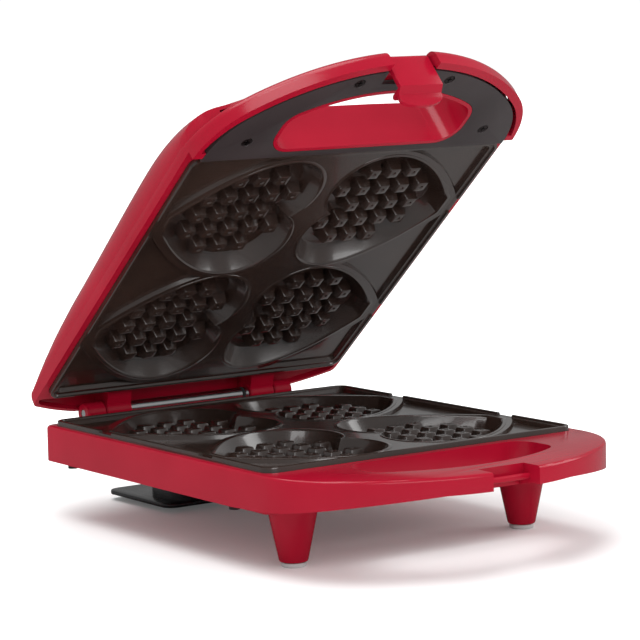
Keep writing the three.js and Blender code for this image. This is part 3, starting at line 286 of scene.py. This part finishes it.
def turned(profile, steps=48, axis="Z", centre=(0, 0, 0)):
    """A round body from (radius, station) pairs along an axis."""
    rings = []
    for radius, station in profile:
        ring = []
        for u, v in arc(0, 0, radius, 0, 2 * math.pi, steps)[:-1]:
            point = {"Z": (u, v, station), "X": (station, u, v), "Y": (v, station, u)}[axis]
            ring.append(tuple(p + c for p, c in zip(point, centre)))
        rings.append(ring)
    return skin(rings)


def combine(body, tools, operation):
    for tool in tools:
        step = body.modifiers.new("combine", "BOOLEAN")
        step.object = tool
        step.operation = operation
        step.solver = "MANIFOLD"
    bake(body)
    for tool in tools:
        data = tool.data
        bpy.data.objects.remove(tool)
        bpy.data.meshes.remove(data)
    return body


def bake(body):
    bpy.context.view_layer.update()
    graph = bpy.context.evaluated_depsgraph_get()
    mesh = bpy.data.meshes.new_from_object(body.evaluated_get(graph))
    old = body.data
    body.modifiers.clear()
    body.data = mesh
    bpy.data.meshes.remove(old)


def cut(body, *tools):
    return combine(body, tools, "DIFFERENCE")


def join(body, *tools):
    return combine(body, tools, "UNION")


def common(body, *tools):
    return combine(body, tools, "INTERSECT")


def mirrored(body, axis=0):
    copy = bpy.data.objects.new(body.name, body.data.copy())
    bpy.context.scene.collection.objects.link(copy)
    flip = Matrix.Identity(4)
    flip[axis][axis] = -1
    copy.data.transform(flip)
    copy.data.flip_normals()
    return copy


def soften(body, width, segments=3, angle=40):
    """Rounds the hard edges of a body."""
    work = bmesh.new()
    work.from_mesh(body.data)
    bmesh.ops.remove_doubles(work, verts=work.verts, dist=0.005)
    bmesh.ops.dissolve_limit(
        work, angle_limit=math.radians(0.6), verts=work.verts, edges=work.edges, delimit={"NORMAL"}
    )
    work.to_mesh(body.data)
    work.free()
    step = body.modifiers.new("soften", "BEVEL")
    step.width = width
    step.segments = segments
    step.limit_method = "ANGLE"
    step.angle_limit = math.radians(angle)
    step.use_clamp_overlap = True
    bake(body)
    return body


# ------------------------------------------------------------------ placing


BASE_PLACE = Matrix.Translation((0, HINGE.y - HINGE_Y * MM, 0)) @ Matrix.Scale(MM, 4)
LID_PLACE = (
    Matrix.Translation(HINGE)
    @ Matrix.Rotation(-LID_ANGLE, 4, "X")
    @ Matrix.Scale(MM, 4)
    @ Matrix.Translation((0, -HINGE_Y, -HINGE_Z))
)
LATCH_PLACE = Matrix.Translation(LATCH) @ Matrix.Rotation(-LID_ANGLE, 4, "X") @ Matrix.Scale(MM, 4)
PLACES = {"base": BASE_PLACE, "lid": LID_PLACE, "latch": LATCH_PLACE}
SLOTS = {subpart["node"]: subpart["material_slot"] for subpart in RECORD["subparts"]}


def finish_piece(body, name, group, *nodes, smooth=32):
    body.name = name
    body.data.name = name
    body.data.transform(PLACES[group])
    work = bmesh.new()
    work.from_mesh(body.data)
    bmesh.ops.remove_doubles(work, verts=work.verts, dist=2e-6)
    bmesh.ops.dissolve_degenerate(work, edges=work.edges, dist=1e-6)
    work.to_mesh(body.data)
    work.free()
    body.data.shade_smooth()
    body.data.set_sharp_from_angle(angle=math.radians(smooth))
    body.data.materials.clear()
    body.data.materials.append(look(nodes[0]))
    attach(body, group)
    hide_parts(*nodes)
    return body


# ------------------------------------------------------------------ materials


def new_material(name):
    material = bpy.data.materials.new(name)
    material.use_nodes = True
    tree = material.node_tree
    shader = tree.nodes["Principled BSDF"]
    return material, tree, shader


def noise(tree, scale, detail=2.0):
    texture = tree.nodes.new("ShaderNodeTexNoise")
    texture.inputs["Scale"].default_value = scale
    texture.inputs["Detail"].default_value = detail
    coordinates = tree.nodes.new("ShaderNodeTexCoord")
    tree.links.new(coordinates.outputs["Object"], texture.inputs["Vector"])
    return texture.outputs["Fac"]


def ramp(tree, value, low, high, span=(0.3, 0.7)):
    node = tree.nodes.new("ShaderNodeValToRGB")
    node.color_ramp.elements[0].position = span[0]
    node.color_ramp.elements[1].position = span[1]
    node.color_ramp.elements[0].color = (*low, 1)
    node.color_ramp.elements[1].color = (*high, 1)
    tree.links.new(value, node.inputs["Fac"])
    return node.outputs["Color"]


def spread(tree, value, low, high):
    node = tree.nodes.new("ShaderNodeMapRange")
    node.inputs["To Min"].default_value = low
    node.inputs["To Max"].default_value = high
    tree.links.new(value, node.inputs["Value"])
    return node.outputs["Result"]


def bump(tree, shader, value, distance, strength=1.0):
    node = tree.nodes.new("ShaderNodeBump")
    node.inputs["Distance"].default_value = distance
    node.inputs["Strength"].default_value = strength
    tree.links.new(value, node.inputs["Height"])
    tree.links.new(node.outputs["Normal"], shader.inputs["Normal"])


def moulded(name, low, high, roughness, grain, metallic=0.0, coat=0.0, specular=0.5):
    material, tree, shader = new_material(name)
    cloud = noise(tree, 18)
    fine = noise(tree, 900, 3)
    tree.links.new(ramp(tree, cloud, low, high), shader.inputs["Base Color"])
    tree.links.new(spread(tree, noise(tree, 60, 4), *roughness), shader.inputs["Roughness"])
    shader.inputs["Metallic"].default_value = metallic
    shader.inputs["Coat Weight"].default_value = coat
    shader.inputs["Coat Roughness"].default_value = 0.08
    shader.inputs["Specular IOR Level"].default_value = specular
    bump(tree, shader, fine, grain)
    return material


FINISH = {
    "red_housing": moulded(
        "crimson_plastic",
        (0.33, 0.003, 0.018),
        (0.38, 0.005, 0.023),
        (0.16, 0.24),
        6e-6,
        specular=0.32,
    ),
    "dark_cover": moulded(
        "dark_plastic", (0.03, 0.022, 0.023), (0.045, 0.034, 0.035), (0.36, 0.46), 2e-5
    ),
    "black_cleat": moulded(
        "black_plastic", (0.008, 0.008, 0.009), (0.014, 0.014, 0.016), (0.2, 0.32), 1e-5
    ),
    "non_stick": moulded(
        "non_stick_coat",
        (0.022, 0.012, 0.009),
        (0.036, 0.02, 0.015),
        (0.2, 0.3),
        3e-5,
        coat=0.6,
        specular=0.8,
    ),
    "bright_steel": moulded(
        "bright_steel", (0.6, 0.6, 0.61), (0.7, 0.7, 0.71), (0.15, 0.3), 5e-6, 1.0
    ),
    "sheet_metal": moulded(
        "sheet_metal", (0.55, 0.55, 0.56), (0.68, 0.68, 0.69), (0.25, 0.45), 1e-5, 1.0
    ),
    "element_steel": moulded(
        "element_steel", (0.12, 0.11, 0.1), (0.24, 0.22, 0.2), (0.4, 0.6), 1e-5, 1.0
    ),
    "ceramic": moulded("ceramic", (0.7, 0.68, 0.62), (0.8, 0.78, 0.72), (0.5, 0.7), 2e-5),
    "pad_rubber": moulded("pad_rubber", (0.5, 0.48, 0.48), (0.6, 0.58, 0.58), (0.35, 0.5), 1e-5),
    "black_rubber": moulded(
        "black_rubber", (0.015, 0.015, 0.015), (0.03, 0.03, 0.03), (0.6, 0.8), 3e-5
    ),
    "amber_lens": moulded("amber_lens", (0.6, 0.2, 0.02), (0.8, 0.32, 0.05), (0.1, 0.2), 2e-6),
    "green_lens": moulded("green_lens", (0.03, 0.3, 0.06), (0.06, 0.42, 0.1), (0.1, 0.2), 2e-6),
}
DARK_STEEL = moulded("dark_steel", (0.05, 0.04, 0.04), (0.09, 0.075, 0.075), (0.35, 0.5), 1e-5, 1.0)


def look(node):
    """Screws are blackened; every other piece has its slot's finish."""
    return DARK_STEEL if "screw" in node else FINISH[SLOTS[node]]



for subpart in RECORD["subparts"]:
    node = frame["nodes"][subpart["node"]]
    node.data.materials.clear()
    node.data.materials.append(look(subpart["node"]))

# ------------------------------------------------------------------ cooking plates


def peg_ring(half, radius, z, x, y):
    points = rounded(-half, half, -half, half, radius, 3)
    return [(x + u, y + v, z) for u, v in points]


def peg(x, y):
    z = CAVITY_BOTTOM
    return skin(
        [
            peg_ring(5.7, 0.6, z - 0.5, x, y),
            peg_ring(4.15, 0.6, z + 7.2, x, y),
            peg_ring(3.95, 0.7, z + 7.75, x, y),
            peg_ring(3.5, 0.8, z + 8, x, y),
            peg_ring(1.5, 1.4, z + 7.95, x, y),
            peg_ring(0.8, 0.75, z + 7.3, x, y),
        ]
    )


def heart_well(yc):
    levels = [
        (-8.4, CAVITY_BOTTOM),
        (-7.5, CAVITY_BOTTOM + 0.3),
        (-6.8, CAVITY_BOTTOM + 1.1),
        (-1.0, LAND - 1.1),
        (-0.5, LAND - 0.2),
        (0.1, LAND + 0.36),
        (0.1, LAND + 3),
    ]
    well = stack([(heart(grow, yc), z) for grow, z in levels])
    bases = heart(-10.7, yc)
    pegs = []
    for row in range(-3, 4):
        for column in range(6):
            x, y = PEG_START + column * PEG_PITCH[0], yc + row * PEG_PITCH[1]
            if inside(bases, x, y):
                pegs.append(peg(x, y))
    return cut(well, *pegs)


def heart_boss(yc):
    return stack([(heart(-4, yc), BOSS_BACK), (heart(2, yc), SLAB_BACK + 0.5)])


LIP_STEPS = [(2.2, -0.5), (1.9, 0.2), (1.5, 0.35)]  # outline's growth and height on the land


def plate_body():
    edge = [(0, SLAB_BACK), (0, -0.6), (0.18, -0.18), (0.6, 0)]
    slab = stack([(plate_outline(i), z) for i, z in edge])
    bowl = [(3.1, LAND), (2.7, LAND + 0.2), (2.5, LAND + 0.6), (2.3, -0.25), (2.0, 0.05), (2.0, 1)]
    tools = [stack([(plate_outline(i, 5.4), z) for i, z in bowl])]
    raised = block(-RAISED_HALF, RAISED_HALF, FRONT, 0, LAND - 3.2, LAND + 0.5)
    lips = []
    steps = []
    for yc in HEART_YS:
        for side in (1, -1):
            grown = stack([(heart(6.6, yc), LAND - 3.2), (heart(5.2, yc), LAND + 0.5)])
            lip = stack([(heart(grow, yc), LAND + up) for grow, up in LIP_STEPS])
            boss = heart_boss(yc)
            if side < 0:
                pieces = [mirrored(b) for b in (grown, lip, boss)]
                for old in (grown, lip, boss):
                    bpy.data.objects.remove(old)
                grown, lip, boss = pieces
            steps.append(grown)
            lips += [lip, boss]
    recess = stack([(plate_outline(6, 4), LAND - 2.4), (plate_outline(4.6, 4), LAND + 0.3)])
    tools.append(cut(recess, raised, *steps))
    for yc in HEART_YS:
        ends = (yc - SLOT_HALF, yc + SLOT_HALF)
        tools.append(block(-PLATE_HALF - 2, PLATE_HALF + 2, *ends, LAND, 2))
    body = cut(slab, *tools)
    join(body, *lips)
    wells = []
    for yc in HEART_YS:
        well = heart_well(yc)
        wells += [well, mirrored(well)]
    groove = block(-PLATE_HALF + 6, PLATE_HALF - 6, -1.6, -0.9, -0.7, 1)
    return cut(body, *wells, groove)


# ------------------------------------------------------------------ housings


def housing_stack(levels, back):
    return stack([(housing_outline(inset, back, front), z) for inset, front, z in levels])


def knuckle(x0, x1):
    small = KNUCKLE_R - KNUCKLE_EASE
    profile = [
        (small, x0),
        (KNUCKLE_R, x0 + KNUCKLE_EASE),
        (KNUCKLE_R, x1 - KNUCKLE_EASE),
        (small, x1),
    ]
    return turned(profile, 48, "X", (0, HINGE_Y, HINGE_Z))


def rod_bore(x0, x1):
    return turned([(ROD_BORE, x0), (ROD_BORE, x1)], 32, "X", (0, HINGE_Y, HINGE_Z))


def base_body():
    rounding = [(0, 0, SKIRT), (0, 0, 57.4), (0.27, 0, 58.4), (1, 0, 59.15), (2, 0, BASE_TOP)]
    outer = housing_stack(rounding, base_back)
    grip = BASE_TOP - GRIP_DEPTH
    under = [(6, SKIRT - 2), (6, OVER_BASE), (APEX - 2, OVER_BASE)]
    under += [(APEX - 2, grip), (APEX + 7, grip)]
    under += bezier(
        [(APEX + 7, grip), (TRAY_FRONT - 30, SKIRT + 4), (TRAY_FRONT, SKIRT + 1.5)], 12
    )[1:]
    under += [(FRONT + 30, SKIRT)]
    body = common(outer, prism_across(list(reversed(under)), -HALF - 1, HALF + 1))
    seat = PARTING + SLAB_BACK - GAP
    body = cut(
        body,
        prism(opening_outline(BASE_SETBACK, 0), SKIRT - 2, OVER_BASE),
        prism(plate_outline(-GAP, PLATE_CORNER), seat, OVER_BASE),
        prism(plate_outline(LEDGE, PLATE_CORNER), SKIRT - 2, OVER_BASE),
        prism(
            rounded(WALL - HALF, HALF - WALL, TRAY_FRONT + WALL, 5 - WALL, 5.5),
            SKIRT - 2,
            seat - 2.7,
        ),
        block(-NOTCH_HALF, NOTCH_HALF, APEX - 5, APEX + 15.5, SKIRT - 2, OVER_BASE),
        block(-NOTCH_HALF, NOTCH_HALF, APEX - 5, APEX + 19.5, SKIRT - 2, CATCH_Z),
    )
    soften(body, 0.9)
    web = [(3.8, SKIRT + 9), (HINGE_Y, HINGE_Z - WEB_REACH), (HINGE_Y, HINGE_Z), (3.8, BASE_TOP)]
    bar = [(CATCH_R, -NOTCH_HALF - 1), (CATCH_R, NOTCH_HALF + 1)]
    additions = [turned(bar, 32, "X", (0, CATCH_Y, CATCH_Z))]
    for side in (-1, 1):
        x0, x1 = sorted(side * v for v in BASE_KNUCKLE)
        additions.append(knuckle(x0, x1))
        additions.append(prism_across(web, x0 + 0.4, x1 - 0.4))
    join(body, *additions)
    gland = turned([(5.3, 1), (5.3, 7)], 32, "Y", (0, 0, SKIRT + 9))
    return cut(body, gland, rod_bore(-HALF, HALF))


def cover_body():
    inset = WALL + GAP
    front = TRAY_FRONT + inset
    plan = rounded(inset - HALF, HALF - inset, front, 5 - inset, 5.2)
    body = prism(plan, SKIRT - 0.5, COVER_TOP)
    belly = [(4, BELLY), (1.2, BELLY + 0.6), (0, BELLY + 2.5), (0, COVER_TOP - 1)]
    shape = stack(
        [
            (rounded(i - BELLY_HALF, BELLY_HALF - i, FRONT + 4 + i, -i, BELLY_CORNER - i), z)
            for i, z in belly
        ]
    )
    profile = [(7.6, 2.9), (8.3, 3.3), (8.7, 4.2), (15.6, SKIRT + 0.5)]
    legs = [turned(profile, 64, "Z", (side * FOOT_X, FOOT_Y, 0)) for side in (-1, 1)]
    return join(body, shape, *legs)


def cleat_body():
    foot = [(1.2, 3.5), (0.3, 3.8), (0, 4.4), (0, 5.6), (0.3, 6.2), (1.2, 6.5)]
    body = stack([(rounded(i - 57, 57 - i, i - 44, 33 - i, 9 - i), z) for i, z in foot])
    post = prism(rounded(-47, 47, -40, -2, 10), 5, BELLY - 0.3)
    return join(body, post)


CREST = (
    bezier([(11, 6.5), (2, 24.5), (-30, 33.5), (-80, 34.5)], 16)[:-1]
    + bezier([(-80, 34.5), (-115, 35.5), (-155, 39), (-190, 39)], 12)[:-1]
    + bezier([(-190, 39), (-225, 39), (-250, 29), (-270, 16.85)], 16)[:-1]
    + bezier([(-270, 16.85), (-279, GRIP_DEPTH), (-292, GRIP_DEPTH)], 10)
)


def lid_ring(y, height, inset, bottom):
    half = HALF - inset
    top = PARTING + height - inset
    drop = max(1.2, PARTING + height - LID_GRIP_TOP)
    crown = min(2, drop * 0.15)
    flat = HALF - 24
    steps = 12
    right = [(half, bottom), (half, top - drop)]
    for i in range(1, steps + 1):
        a = i / steps * math.pi / 2
        right.append((flat + (half - flat) * math.cos(a), top - drop + drop * math.sin(a)))
    for share in (0.75, 0.5, 0.25):
        right.append((flat * share, top + crown * (1 - share**2)))
    ring = right + [(0, top + crown)] + [(-x, z) for x, z in reversed(right)]
    t = min(max((y + 60) / 71, 0), 1)
    fade = t * t * (3 - 2 * t)
    return [(x, y + back_bow(x) * fade, z) for x, z in ring]


def lid_dome(inset, bottom):
    stations = [(13, 6.5), *CREST, (APEX - 2, GRIP_DEPTH)]
    return skin([lid_ring(y, h, inset, bottom) for y, h in stations])


def lid_plan(bottom):
    layers = [(bottom, 0)]
    for i in range(9):
        a = i / 8 * math.pi / 2
        layers.append((LID_GRIP_TOP - 6 + 6 * math.sin(a), 6 * (1 - math.cos(a))))
    layers.append((CEILING, 6))
    return stack([(housing_outline(0, lid_back, front), z) for z, front in layers])


def lid_body():
    outer = common(lid_dome(0, GRIP_FACE - 1), lid_plan(GRIP_FACE))
    opening = prism(opening_outline(LID_SETBACK, 0), GRIP_FACE - 3, CEILING)
    notch = block(-NOTCH_HALF, NOTCH_HALF, APEX - 5, NOTCH_BACK, GRIP_FACE - 3, CEILING)
    spans = [(-HALF - 1, HALF + 1, FRONT - 1, 40), (-HALF - 1, -112, FRONT - 4, FRONT)]
    spans.append((112, HALF + 1, FRONT - 4, FRONT))
    rest = [block(*span, GRIP_FACE - 3, LIP) for span in spans]
    body = cut(outer, opening, notch, *rest)
    soften(body, 1.0, 4, 38)
    seat = PARTING + GAP - SLAB_BACK + GAP
    inner = common(
        lid_dome(WALL, GRIP_FACE - 4),
        prism(housing_outline(WALL, lid_back, 3), GRIP_FACE - 2, CEILING),
    )
    cut(
        inner,
        prism(opening_outline(LID_SETBACK, WALL), GRIP_FACE - 4, CEILING),
        block(-23.5, 23.5, APEX - 1, LATCH_Y + 8.7, COVER_BACK + GAP, CEILING),
        block(-HALF, HALF, FRONT - 8.5, FRONT - 6, GRIP_FACE - 4, CEILING),
        block(-HALF, HALF, 2.5, 5, LIP - 3, CEILING),
        cut(
            block(-HALF, HALF, FRONT - 8, 5, GRIP_FACE - 4, seat + 2.7),
            prism(plate_outline(LEDGE, PLATE_CORNER), GRIP_FACE - 5, seat + 3.5),
        ),
    )
    pocket = common(
        prism(plate_outline(-GAP, PLATE_CORNER), GRIP_FACE - 4, seat),
        block(-HALF, HALF, FRONT - 1, 5, GRIP_FACE - 4, seat),
    )
    cover_seat = cut(
        prism(housing_outline(6.7, lid_back), GRIP_FACE - 1, COVER_BACK + GAP),
        block(-HALF, HALF, FRONT - 0.9, 40, GRIP_FACE - 2, COVER_BACK + 2),
        prism(opening_outline(LID_SETBACK, WALL), GRIP_FACE - 2, CEILING),
    )
    body = cut(body, inner, pocket, cover_seat)
    additions = []
    for side in (-1, 1):
        x0, x1 = sorted(side * v for v in LID_KNUCKLE)
        additions.append(knuckle(x0, x1))
        near, far = HINGE_Y - WEB_REACH, HINGE_Y + WEB_REACH
        web = [(3.8, LIP + 0.3), (near, HINGE_Z), (far, HINGE_Z), (far, 90), (3.8, 90)]
        block_up = prism_across(web, x0 + 0.4, x1 - 0.4)
        clip = common(
            lid_dome(0.6, GRIP_FACE - 9),
            prism(housing_outline(0.6, lid_back), GRIP_FACE - 8, CEILING),
        )
        additions.append(common(block_up, clip))
    join(body, *additions)
    holes = [rod_bore(-HALF, HALF)]
    for side in (-1, 1):
        x0, x1 = sorted(side * v for v in BASE_KNUCKLE)
        holes.append(turned([(8, x0 - 0.3), (8, x1 + 0.3)], 48, "X", (0, HINGE_Y, HINGE_Z)))
        lens = (side * LENS_PLACE[0], LENS_PLACE[1], 0)
        holes.append(turned([(LENS_BORE, 90), (LENS_BORE, CEILING)], 32, "Z", lens))
    return cut(body, *holes)


def grip_cover_body():
    body = cut(
        prism(housing_outline(7, lid_back), GRIP_FACE, COVER_BACK),
        block(-HALF, HALF, FRONT - 1.2, 40, GRIP_FACE - 2, COVER_BACK + 2),
        prism(opening_outline(LID_SETBACK, WALL + GAP), GRIP_FACE - 2, COVER_BACK + 2),
        block(-NOTCH_HALF, NOTCH_HALF, APEX - 5, NOTCH_BACK, GRIP_FACE - 2, COVER_BACK + 2),
    )
    soften(body, 0.5)
    holes = []
    for side in (-1, 1):
        for x, y in GRIP_SCREWS:
            sink = [(4.2, GRIP_FACE - 1), (3.5, GRIP_FACE + 0.4), (3.5, GRIP_FACE + 1.7)]
            holes.append(turned(sink, 32, "Z", (side * x, y, 0)))
    return cut(body, *holes)


GRIP_SCREWS = (
    (87.5, FRONT - 16.8),
    (32.8, ARC_Y - math.sqrt(136**2 - 32.8**2)),
)


def screw_body(side, x, y):
    face = GRIP_FACE + GAP
    cx = side * x
    steps = [(2.6, 0), (3.1, 0.15), (3.3, 0.5), (3.3, 1), (1.5, 1), (1.5, 3)]
    head = turned([(radius, face + up) for radius, up in steps], 32, "Z", (cx, y, 0))
    slot_a = block(cx - 2, cx + 2, y - 0.4, y + 0.4, face - 1, face + 0.7)
    slot_b = block(cx - 0.4, cx + 0.4, y - 2, y + 2, face - 1, face + 0.7)
    return cut(head, slot_a, slot_b)


# ------------------------------------------------------------------ latch, about its pivot


def latch_body():
    hub, face = 3.2, -6.0
    top = LID_GRIP_TOP - LATCH_Z
    hook_top = CATCH_Z - CATCH_R - GAP - LATCH_Z
    bead_z = hook_top - CATCH_R
    crease = hook_top - 2.4 - 1
    end = crease - 7
    side = arc(0, 0, hub, 0, math.pi / 2, 12)
    side += [(0, top), (-2.5, top)]
    side += bezier([(-2.5, top), (face, top), (face, top - 3.7)], 8)[1:]
    side += [(face, hook_top - 0.7), (face + 4.5, crease), (face + 6.8, end), (face + 9.2, end)]
    side += [(face + 7.2, crease - 0.5)]
    start = math.pi - math.asin((hook_top - 2.4 - bead_z) / CATCH_R)
    side += arc(hub, bead_z, CATCH_R, start, 2.5 * math.pi, 16)
    side += [(-3, hook_top), (-3, -hub), (0, -hub)]
    side += arc(0, 0, hub, -math.pi / 2, 0, 12)[1:-1]
    body = prism_across(side, -LATCH_HALF, LATCH_HALF)
    cheek = crease - 2.1
    tab = [(-LATCH_HALF, top + 1), (-LATCH_HALF, cheek)]
    low = end - 1.6
    tab += bezier(
        [(-LATCH_HALF, cheek), (-LATCH_HALF, low), (LATCH_HALF, low), (LATCH_HALF, cheek)], 24
    )[1:]
    tab += [(LATCH_HALF, top + 1)]
    front = skin([[(x, y, z) for x, z in tab] for y in (-8, 7)])
    body = common(body, front)
    soften(body, 0.45, 3, 35)
    return cut(body, turned([(CATCH_R, -17), (CATCH_R, 17)], 32, "X"))


# ------------------------------------------------------------------ hinge line


def sleeve(x0, x1, radius=5.0):
    profile = [(radius - 0.5, x0), (radius, x0 + 0.5), (radius, x1 - 0.5), (radius - 0.5, x1)]
    body = turned(profile, 64, "X", (0, HINGE_Y, HINGE_Z))
    return cut(body, rod_bore(x0 - 1, x1 + 1))


# ------------------------------------------------------------------ assembly


def pad(radius, top, x, y):
    profile = [(radius - 0.8, 0), (radius - 0.2, 0.3), (radius, 0.9), (radius, top)]
    return turned(profile, 48, "Z", (x, y, 0))


def build_pieces():
    plate = plate_body()
    upper = mirrored(plate, 2)
    plate.data.transform(Matrix.Translation((0, 0, PARTING)))
    upper.data.transform(Matrix.Translation((0, 0, PARTING + GAP)))
    finish_piece(plate, "lower_plate_look", "base", "lower_plate", smooth=28)
    finish_piece(upper, "upper_plate_look", "lid", "upper_plate", smooth=28)
    finish_piece(base_body(), "base_housing_look", "base", "base_housing")
    finish_piece(cover_body(), "bottom_cover_look", "base", "base_bottom_cover")
    finish_piece(cleat_body(), "cleat_look", "base", "cord_wrap_cleat")
    finish_piece(lid_body(), "lid_housing_look", "lid", "lid_housing", smooth=30)
    finish_piece(grip_cover_body(), "grip_cover_look", "lid", "grip_cover")
    finish_piece(latch_body(), "latch_look", "latch", "latch_clip")
    finish_piece(sleeve(-46.7, 41.7), "hinge_tube_look", "base", "hinge_tube")
    finish_piece(sleeve(42, 44), "hinge_ring_look", "base", "hinge_ring")
    finish_piece(sleeve(44.3, 46.7), "hinge_collar_look", "base", "hinge_collar")
    for side, word in ((-1, "left"), (1, "right")):
        foot = pad(7.4, 2.6, side * FOOT_X, FOOT_Y)
        finish_piece(foot, f"front_pad_look_{word}", "base", f"front_foot_pad_{word}")
        rear = pad(7, 3.2, side * 40, -10)
        finish_piece(rear, f"rear_pad_look_{word}", "base", f"rear_foot_pad_{word}")
        for place, (x, y) in zip(("outer", "inner"), GRIP_SCREWS):
            body = screw_body(side, x, y)
            node = f"grip_cover_screw_{place}_{word}"
            finish_piece(body, f"grip_screw_look_{place}_{word}", "lid", node)


build_pieces()

# ------------------------------------------------------------------ camera, light and floor

AZIMUTH = math.radians(-35.48)
ELEVATION = math.radians(6.79)
ROLL = math.radians(-1.21)
DISTANCE = 1.6881
TARGET = Vector((0.0223, HINGE.y - 0.019 - 0.10396, 0.12364))


def make_camera():
    back = Vector(
        (
            math.sin(AZIMUTH) * math.cos(ELEVATION),
            -math.cos(AZIMUTH) * math.cos(ELEVATION),
            math.sin(ELEVATION),
        )
    )
    data = bpy.data.cameras.new("camera")
    data.lens = 150.27
    data.sensor_width = 36
    camera = bpy.data.objects.new("camera", data)
    turn = back.to_track_quat("Z", "Y").to_matrix()
    camera.rotation_euler = (turn @ Matrix.Rotation(ROLL, 3, "Z")).to_euler()
    camera.location = TARGET + back * DISTANCE
    bpy.context.scene.collection.objects.link(camera)
    bpy.context.scene.camera = camera


make_camera()


def area_lamp(name, place, size, power):
    data = bpy.data.lights.new(name, "AREA")
    data.shape = "RECTANGLE"
    data.size, data.size_y = size
    data.energy = power
    lamp = bpy.data.objects.new(name, data)
    lamp.location = place
    lamp.rotation_euler = (Vector(place) - TARGET).to_track_quat("Z", "Y").to_euler()
    bpy.context.scene.collection.objects.link(lamp)


LAMPS = (  # name, place, size, power in watts
    ("key", (-0.75, -0.4, 1.9), (0.9, 0.9), 10),
    ("front", (-0.2, -1.9, 0.9), (1.6, 0.7), 11),
    ("right", (1.7, -0.6, 1.0), (0.8, 1.2), 9),
)
for lamp in LAMPS:
    area_lamp(*lamp)

SUN_POWER = 1.75
SUN_SPREAD = math.radians(50)
SUN_FROM = Vector((-0.1, 0.45, 1.5))


def make_sun():
    data = bpy.data.lights.new("sun", "SUN")
    data.energy = SUN_POWER
    data.angle = SUN_SPREAD
    sun = bpy.data.objects.new("sun", data)
    sun.rotation_euler = SUN_FROM.to_track_quat("Z", "Y").to_euler()
    bpy.context.scene.collection.objects.link(sun)


make_sun()


FLOOR_HALF = 6.0
FLOOR_TONE = 0.88
FLOOR_MIRRORED = 0.2
FADE_REACH = (0.14, 0.5)  # metres from the middle
FADE_LIFT = (0.07, 0.6)


def fade_out(tree, shader):
    """The floor runs into the white background away from the machine, to the camera only."""
    coordinates = tree.nodes.new("ShaderNodeTexCoord")
    reach = tree.nodes.new("ShaderNodeVectorMath")
    reach.operation = "LENGTH"
    tree.links.new(coordinates.outputs["Object"], reach.inputs[0])
    lift = tree.nodes.new("ShaderNodeMapRange")
    lift.interpolation_type = "SMOOTHSTEP"
    lift.inputs["From Min"].default_value = FADE_REACH[0]
    lift.inputs["From Max"].default_value = FADE_REACH[1]
    lift.inputs["To Min"].default_value = FADE_LIFT[0]
    lift.inputs["To Max"].default_value = FADE_LIFT[1]
    tree.links.new(reach.outputs["Value"], lift.inputs["Value"])
    path = tree.nodes.new("ShaderNodeLightPath")
    seen = tree.nodes.new("ShaderNodeMath")
    seen.operation = "MULTIPLY"
    tree.links.new(lift.outputs["Result"], seen.inputs[0])
    tree.links.new(path.outputs["Is Camera Ray"], seen.inputs[1])
    shader.inputs["Emission Color"].default_value = (1, 1, 1, 1)
    tree.links.new(seen.outputs["Value"], shader.inputs["Emission Strength"])


def make_floor():
    mesh = bpy.data.meshes.new("floor")
    r = FLOOR_HALF
    mesh.from_pydata([(-r, -r, 0), (r, -r, 0), (r, r, 0), (-r, r, 0)], [], [(0, 1, 2, 3)])
    floor = bpy.data.objects.new("floor", mesh)
    bpy.context.scene.collection.objects.link(floor)
    material, tree, shader = new_material("floor")
    path = tree.nodes.new("ShaderNodeLightPath")
    tone = tree.nodes.new("ShaderNodeMapRange")
    tone.inputs["To Min"].default_value = FLOOR_TONE
    tone.inputs["To Max"].default_value = FLOOR_MIRRORED
    tree.links.new(path.outputs["Is Glossy Ray"], tone.inputs["Value"])
    tree.links.new(tone.outputs["Result"], shader.inputs["Base Color"])
    shader.inputs["Roughness"].default_value = 0.9
    fade_out(tree, shader)
    mesh.materials.append(material)


make_floor()


WORLD_LIGHT = 0.68
WORLD_SEEN = 1.05
WORLD_MIRRORED = 0.45  # share of the light that a mirrored ray meets


def make_world():
    """White to the camera, a plain studio to the surfaces, dimmer where it is mirrored."""
    world = bpy.data.worlds.new("world")
    bpy.context.scene.world = world
    world.use_nodes = True
    tree = world.node_tree
    background = tree.nodes["Background"]
    background.inputs["Color"].default_value = (1, 1, 1, 1)
    path = tree.nodes.new("ShaderNodeLightPath")
    seen = tree.nodes.new("ShaderNodeMapRange")
    seen.inputs["To Min"].default_value = WORLD_LIGHT
    seen.inputs["To Max"].default_value = WORLD_SEEN
    tree.links.new(path.outputs["Is Camera Ray"], seen.inputs["Value"])
    gloss = tree.nodes.new("ShaderNodeMapRange")
    gloss.inputs["To Min"].default_value = 1.0
    gloss.inputs["To Max"].default_value = WORLD_MIRRORED
    tree.links.new(path.outputs["Is Glossy Ray"], gloss.inputs["Value"])
    strength = tree.nodes.new("ShaderNodeMath")
    strength.operation = "MULTIPLY"
    tree.links.new(seen.outputs["Result"], strength.inputs[0])
    tree.links.new(gloss.outputs["Result"], strength.inputs[1])
    tree.links.new(strength.outputs["Value"], background.inputs["Strength"])


make_world()
bpy.context.scene.view_settings.view_transform = "Standard"
